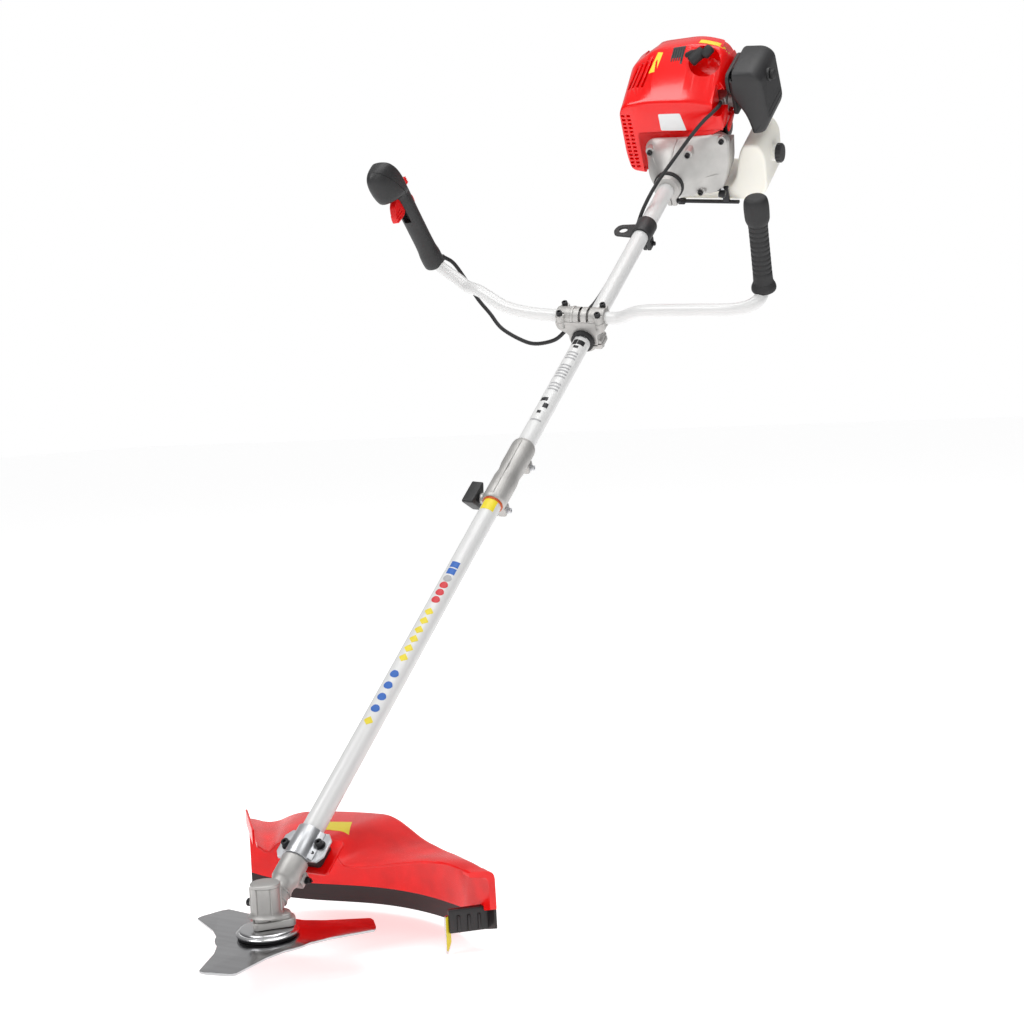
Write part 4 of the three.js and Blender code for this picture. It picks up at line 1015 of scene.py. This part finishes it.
def crank_train():
    housing = carve(section(FAN_OUTLINE, 1611.5, 1648, 14, 2.5),
                    rod_along(54, 1619, 1660, 0.1, 72), rod_along(12, 1600, 1630, 0.1))
    housing = carve(housing, box(60, 110, 1622, 1660, 40, 80, 0.1))
    place("fan_housing_cast", housing, "cast", "fan_housing", bevel=0.4)
    strut = together(rod(4, (64, 1616, -36), (70, 1616, -60), 1),
                     rod(3, (80, 1616, -10), (66, 1616, -44), 1))
    place("housing_strut", strut, "zinc")
    feet = together(rod(7, (64, 1612, -60), (76, 1612, -62), 2),
                    bolt((66, 1611, -48), (0, -1, 0), 4.4, 4))
    place("housing_strut_foot", feet, "black_steel")
    vanes = [turned(box(-1, 1, 1627, 1643, 26, 49, 0.4), turn, "Y") for turn in range(0, 360, 30)]
    wheel = fuse(rod_along(50, 1623, 1628, 0.6, 72), rod_along(20, 1626, 1640, 0.8),
                 *vanes)
    wheel = carve(wheel, rod_along(7.3, 1600, 1660, 0.1))
    place("flywheel_cast", wheel, "cast", "flywheel", body="crank")
    outline = [(-42, -48), (-42, 30), (-36, 43), (36, 43), (42, 30), (42, -48), (0, -54)]
    case = carve(section(outline, 1648.5, 1722, 5, 1.4), rod_along(33, 1660, 1711, 0.1, 64),
                 rod_along(8, 1600, 1760, 0.1), rod(19.5, (0, CYLINDER, 0), (0, CYLINDER, 60), 0.1))
    ribs = [section([(-44.5, -44), (44.5, -44), (44.5, 24), (-44.5, 24)], s, s + 3, 6, 0.8)
            for s in (1664, 1682, 1700)]
    ribs = carve(together(*ribs), box(-41, 41, 1640, 1730, -46, 40, 0.2))
    place("crankcase_cast", together(case, ribs), "cast", "crankcase")


def cylinder_head():
    y = CYLINDER
    fins = [ring(43, 24, (0, y, 62 + i * 12), (0, y, 66 + i * 12), 1.2, 64) for i in range(7)]
    barrel = fuse(rod(27, (0, y, 52), (0, y, 146), 1, 64), box(-36, 36, y - 30, y + 30, 43.4, 52.5, 1),
                  *fins)
    barrel = carve(barrel, rod(19.5, (0, y, 30), (0, y, 136), 0.1, 48),
                   rod(4.4, (14, y, 130), (14, y, 160), 0.1))
    place("cylinder_cast", barrel, "cast", "cylinder")
    plug = together(rod(4, (14, y, 138), (14, y, 148), 0.3), rod(7, (14, y, 146.4), (14, y, 154), 0.6, 6),
                    rod(4, (14, y, 153), (14, y, 162), 0.4))
    place("spark_plug_steel", plug, "machined", "spark_plug")
    path = smooth_path([(14, y, 157), (16, y, 168), (28, y - 2, 176), (52, y - 8, 182)], 8)
    boot = fuse(sweep(path, lambda i: 8.5 - 0.7 * (i % 4 == 2), 32),
                rod(10, (30, y - 20, 172), (50, y - 2, 184), 3),
                rod(9, (52, y - 10, 178), (66, y - 2, 190), 4))
    boot = carve(boot, rod(7.4, (14, y, 140), (14, y, 154.4), 0.1),
                 rod(4.3, (14, y, 150), (14, y, 162.4), 0.1))
    place("plug_boot_moulding", boot, "soft", "plug_boot")
    can = section([(-90, 50), (-93, 70), (-84, 134), (-48, 138), (-48, 50)], 1655, 1728, 8, 3)
    slots = [box(-96, -86, 1668 + k * 9, 1672 + k * 9, 60, 112, 0.4) for k in range(5)]
    place("muffler_can", carve(can, *slots), "black_steel", "muffler")


# the shroud's section at its clutch end, with corner radii, and where it is fullest
SHROUD_FRONT = [(-67, -20, 6), (-98, -14, 12), (-102, 20, 14), (-100, 105, 14), (-88, 121, 10),
                (-40, 127, 20), (40, 127, 20), (80, 120, 14), (91, 100, 14), (92, 68, 3), (20, 64, 10),
                (-65, 62, 3)]
SHROUD_CREST = [(-67, -24), (-108, -18), (-112, 20), (-110, 106), (-95, 148), (-48, 180), (36, 190),
                (80, 178), (94, 148), (93.5, 68), (20, 64), (-65, 62)]


def shroud_shell(inset, from_along):
    """The shroud's outer shape, or with an inset the space inside it, from one place on."""
    stations = [(0, 0, 5), (1.4, 0.014, 2.2), (4.5, 0.045, 0.6), (8, 0.08, 0), (88, 1, 0), (94, 1, 0),
                (126, 0.945, 0.4), (128.6, 0.935, 1.2), (130, 0.93, 3)]
    if inset:
        stations = [(from_along, from_along / 88, inset), (88, 1, inset), (128, 0.935, inset)]
    rings = []
    for along, share, pull in stations:
        outline = []
        for (x0, z0, reach), (x1, z1) in zip(SHROUD_FRONT, SHROUD_CREST):
            outline.append((x0 + (x1 - x0) * share, z0 + (z1 - z0) * share, reach))
        flat = inset_outline(rounded(outline, 4, 5), pull)
        rings.append([(point.x, ENGINE + along, point.y) for point in flat])
    return loft(rings)


def shroud():
    """The hollow shroud with its openings; returns its surface for the films that lie on it."""
    wall = 3.5
    louvres = [box(x, x + 7, 1606, 1622, z, z + 4.4, 0.4)
               for x in (-95.5, -85) for z in range(-6, 104, 8)]
    gills = [turned(box(-86 + k * 10, -81 + k * 10, 1648 - k * 2, 1690, 90, 190, 0.4), -14, "Z",
                    (-86 + k * 10, 1662, 120)) for k in range(4)]
    shell = carve(shroud_shell(0, 0), shroud_shell(wall, wall),
                  box(-72, 98, ENGINE + wall, 1760, 40, 72, 0.1),
                  box(-74, -55, ENGINE + wall, 1760, -40, 60, 0.1),
                  box(-95, -55, ENGINE + 5, 1760, -40, -10, 0.1),
                  box(-74, 88, ENGINE + 100, 1760, 60, 175, 0.1),
                  box(60, 120, 1652, 1760, 40, 126, 0.1),
                  box(78, 120, ENGINE - 5, 1655, 98, 140, 0.1),
                  rod(28, (50, 1686, 146), (60, 1656, 226), 0.1, 64), *louvres, *gills)
    place("shroud_shell", shell, "shroud", "shroud", bevel=0.6)
    return BVHTree.FromPolygons(shell.points, shell.faces)


def shroud_dressing(tree):
    insert = [draped(tree, [(-12, 1672), (12, 1672), (15, 1699), (-8, 1699)], 1)]
    insert += [draped(tree, [(x - 10, 1677), (x - 8, 1677), (x - 6, 1697), (x - 8, 1697)], 2.2)
               for x in (0, 4.6, 9.2, 13.8, 18.4)]
    place("shroud_insert", together(*insert), "plastic")
    place("shroud_tag", draped(tree, [(-11, 1663), (7, 1663), (7, 1670), (-11, 1670)]), "white_film")
    plate = section([(-24, 71), (24, 71), (17, 105), (-24, 104)], ENGINE - 0.6, ENGINE - 0.1, 3, 0.1)
    place("shroud_plate", plate, "white_film")
    signs = [draped(tree, [(36, 1709), (84, 1709), (84, 1722), (36, 1722)]),
             draped(tree, [(-50, 1664), (-36, 1664), (-28, 1694), (-38, 1696)])]
    place("shroud_films", together(*signs), "yellow")


def starter():
    profile = [(52, 0), (55.4, 0), (56, 0.8), (56, 31), (54, 34), (50, 35), (49, 36), (38, 43),
               (36, 44), (0, 44), (0, 30), (52, 30), (52, 0)]
    cover = revolve(profile, (0, 1724, 0), (0, 1770, 0), 96)
    vents = [turned(box(-2.5, 2.5, 1750, 1775, 18, 34, 0.3), turn, "Y")
             for turn in range(0, 360, 36) if turn != 36]
    cover = carve(cover, rod(3, (24, 1740, 26), (24, 1780, 26), 0.1), *vents)
    place("starter_cover", cover, "plastic", "starter_housing")
    handle = together(rod(6.5, (6, 1779, 26), (42, 1779, 26), 3),
                      rod(2.2, (24, 1742, 26), (24, 1776, 26), 0.2))
    place("starter_handle_moulding", handle, "soft", "starter_handle", body="pull_handle")


def carburettor():
    y = CYLINDER
    body = fuse(box(49.5, 84, 1668, 1712, 68, 102, 2), box(44.6, 51, 1670, 1710, 68, 102, 1),
                rod(13, (83, y, 85), (96, y, 85), 0.8),
                ring(10, 8, (66, 1660, 82), (66, 1668.5, 82), 0.5),
                rod(4.5, (76.6, 1669, 97), (78, 1656, 100), 0.6))
    body = carve(body, rod(9, (40, y, 85), (110, y, 85), 0.1))
    place("carburettor_cast", body, "cast", "carburettor", bevel=0.3)
    bulb = revolve([(0, 0), (2.4, 0.5), (4.4, 1.8), (6.3, 4), (7.2, 6), (7.5, 8), (0, 8)],
                   (66, 1655.6, 82), (66, 1670, 82), 40)
    place("primer_dome", bulb, "soft", "primer_bulb", body="primer")
    lever = together(across([(1668, 70), (1668, 79), (1658, 79), (1634, 70), (1629, 66), (1629, 58),
                             (1637, 57)], 93.3, 96.4, 2, 0.8),
                     rod(3, (84.4, 1663, 74), (94, 1663, 74), 0.3))
    place("choke_lever_moulding", lever, "control", "choke_lever", body="choke")


COVER_OUTLINE = [(103.4, 158, 3), (109, 165, 4), (146, 165, 14), (162, 152, 14), (166, 66, 20),
                 (155, 45, 10), (134, 43, 5), (129, 68, 6), (124, 84, 8), (103.4, 120, 8)]


def cover_layer(along, pull):
    flat = rounded(COVER_OUTLINE, 8, 5)
    return [(point.x, along, point.y) for point in inset_outline(flat, pull)]


def air_filter():
    plate = across([(1664, 68), (1664, 112), (1644, 124), (1644, 150), (1652, 158), (1726, 158),
                    (1738, 150), (1738, 90), (1728, 68)], 97, 103.2, 9, 1)
    place("filter_base_moulding", carve(plate, rod(9, (90, CYLINDER, 85), (110, CYLINDER, 85), 0.1)),
          "plastic", "filter_base")
    ends = ((0, 7), (1.2, 4), (4, 1.4), (8, 0))
    outside = loft([cover_layer(1640 + along, pull) for along, pull in ends]
                   + [cover_layer(1742 - along, pull) for along, pull in reversed(ends)])
    inside = loft([cover_layer(along, 4) for along in (1645, 1737)])
    grooves = [box(164.6, 170, 1652, 1734, z, z + 1.8, 0.2) for z in (72, 82, 92, 102, 112)]
    step = box(96, 112, 1636, 1662, 148, 170, 2)
    cover = carve(outside, inside, rod(3.3, (150, 1684, 138), (180, 1684, 138), 0.1),
                  box(90, 106, 1652, 1730, 108, 155, 0.1), step, *grooves)
    place("filter_cover_moulding", cover, "plastic", "filter_cover", bevel=0.4)
    seat = ring(11.5, 3.4, (161, 1684, 138), (166.6, 1684, 138), 1, 40)
    place("filter_knob_seat", seat, "plastic")
    knob = together(rod(9, (166.8, 1684, 138), (175, 1684, 138), 2.4, 12),
                    rod(3, (131, 1684, 138), (168, 1684, 138), 0.3))
    place("filter_knob_moulding", knob, "soft", "cover_knob", body="filter_knob")


def tank():
    outline = [(-28, -93, 8), (120, -93, 26), (146, -74, 18), (150, 0, 14), (140, 22, 10), (112, 22, 10),
               (101, 0, 14), (88, -50, 20), (70, -68, 14), (-28, -64, 10)]
    neck = Vector((150, 1690, -24))
    body = fuse(section(outline, 1640, 1742, 10, 5), rod(15, (140, *neck[1:]), (156, *neck[1:]), 1))
    body = carve(body, rod(11, (135, *neck[1:]), (170, *neck[1:]), 0.1))
    place("fuel_tank_moulding", body, "tank", "fuel_tank")
    profile = [(0, 0), (10.5, 0), (10.5, 6.4), (16.6, 6.4), (17.5, 7.3), (17.5, 14.4), (15.4, 16.8),
               (12, 17), (0, 17)]
    cap = revolve(profile, neck, neck + Vector((20, 0, 0)), 60)
    notches = [moved(box(16.4, 19, -1.1, 1.1, 7.4, 16, 0.3),
                     Matrix.Translation(neck) @ Matrix.Rotation(math.radians(90), 4, "Y")
                     @ Matrix.Rotation(math.radians(turn), 4, "Z")) for turn in range(0, 360, 24)]
    place("fuel_cap_moulding", carve(cap, *notches), "plastic", "fuel_cap", body="tank_cap")
    stand = together(box(-26, 92, 1629, 1636, -94, -89, 1), box(62, 74, 1629, 1636, -92, -60, 1),
                     box(62, 74, 1629, 1639, -64.8, -61, 1), box(-26, -12, 1626, 1639, -96, -88, 2))
    place("tank_stand_bent", stand, "black_steel", "tank_stand")


# ---------------------------------------------------------------- throttle cable
# from the grip, under the clamp, up the tube, and over the clutch housing to the carburettor
CABLE = [(-279, 1206, 76), (-268, 1210, 62), (-252, 1203, 40), (-226, 1185, 8), (-200, 1168, -9),
         (-172, 1146, -22), (-130, 1127, -29), (-100, 1120, -30), (-66, 1122, -22), (-46, 1128, -8),
         (-32, 1146, 2), (-20, 1180, 0), (-18, 1230, -6), (-18, 1330, -8), (-21, 1375, -11.5),
         (-21.6, 1405, -12.5), (-20, 1430, -3), (-13, 1447, 15), (-2, 1472, 34), (9, 1503, 47),
         (26, 1548, 62), (44, 1576, 80), (64, 1596, 98), (80, 1608, 109), (86, 1625, 111),
         (82, 1642, 105), (78, 1655.4, 100.4)]


def cable():
    path = smooth_path(CABLE, 24)
    shape = sweep(path, lambda i: 3.4 - 0.35 * (i % 2), 16)
    piece = place("throttle_cable_conduit", shape, "soft", "throttle_cable",
                  angle=80)
    return piece


def inner_parts():
    """The parts inside, which are seen only through openings, keep their CAD shapes."""
    for name in ("output_bearing", "bevel_wheel", "output_shaft", "drive_shaft", "pinion",
                 "pinion_bearing", "clutch_drum", "clutch_shoes", "crankshaft", "piston"):
        node = bpy.data.objects[name]
        node.data.materials.clear()
        node.data.materials.append(LOOK["machined"])


# ---------------------------------------------------------------- the making
LOOK = all_looks()
camera()
cable()
studio()
gear_case()
cutter()
guard()
bracket()
tubes()
tube_films()
coupling()
bars()
bar_clamp()
plain_grip()
throttle_grip()
harness_clamp()
clutch()
crank_train()
cylinder_head()
shroud_dressing(shroud())
starter()
carburettor()
air_filter()
tank()
inner_parts()
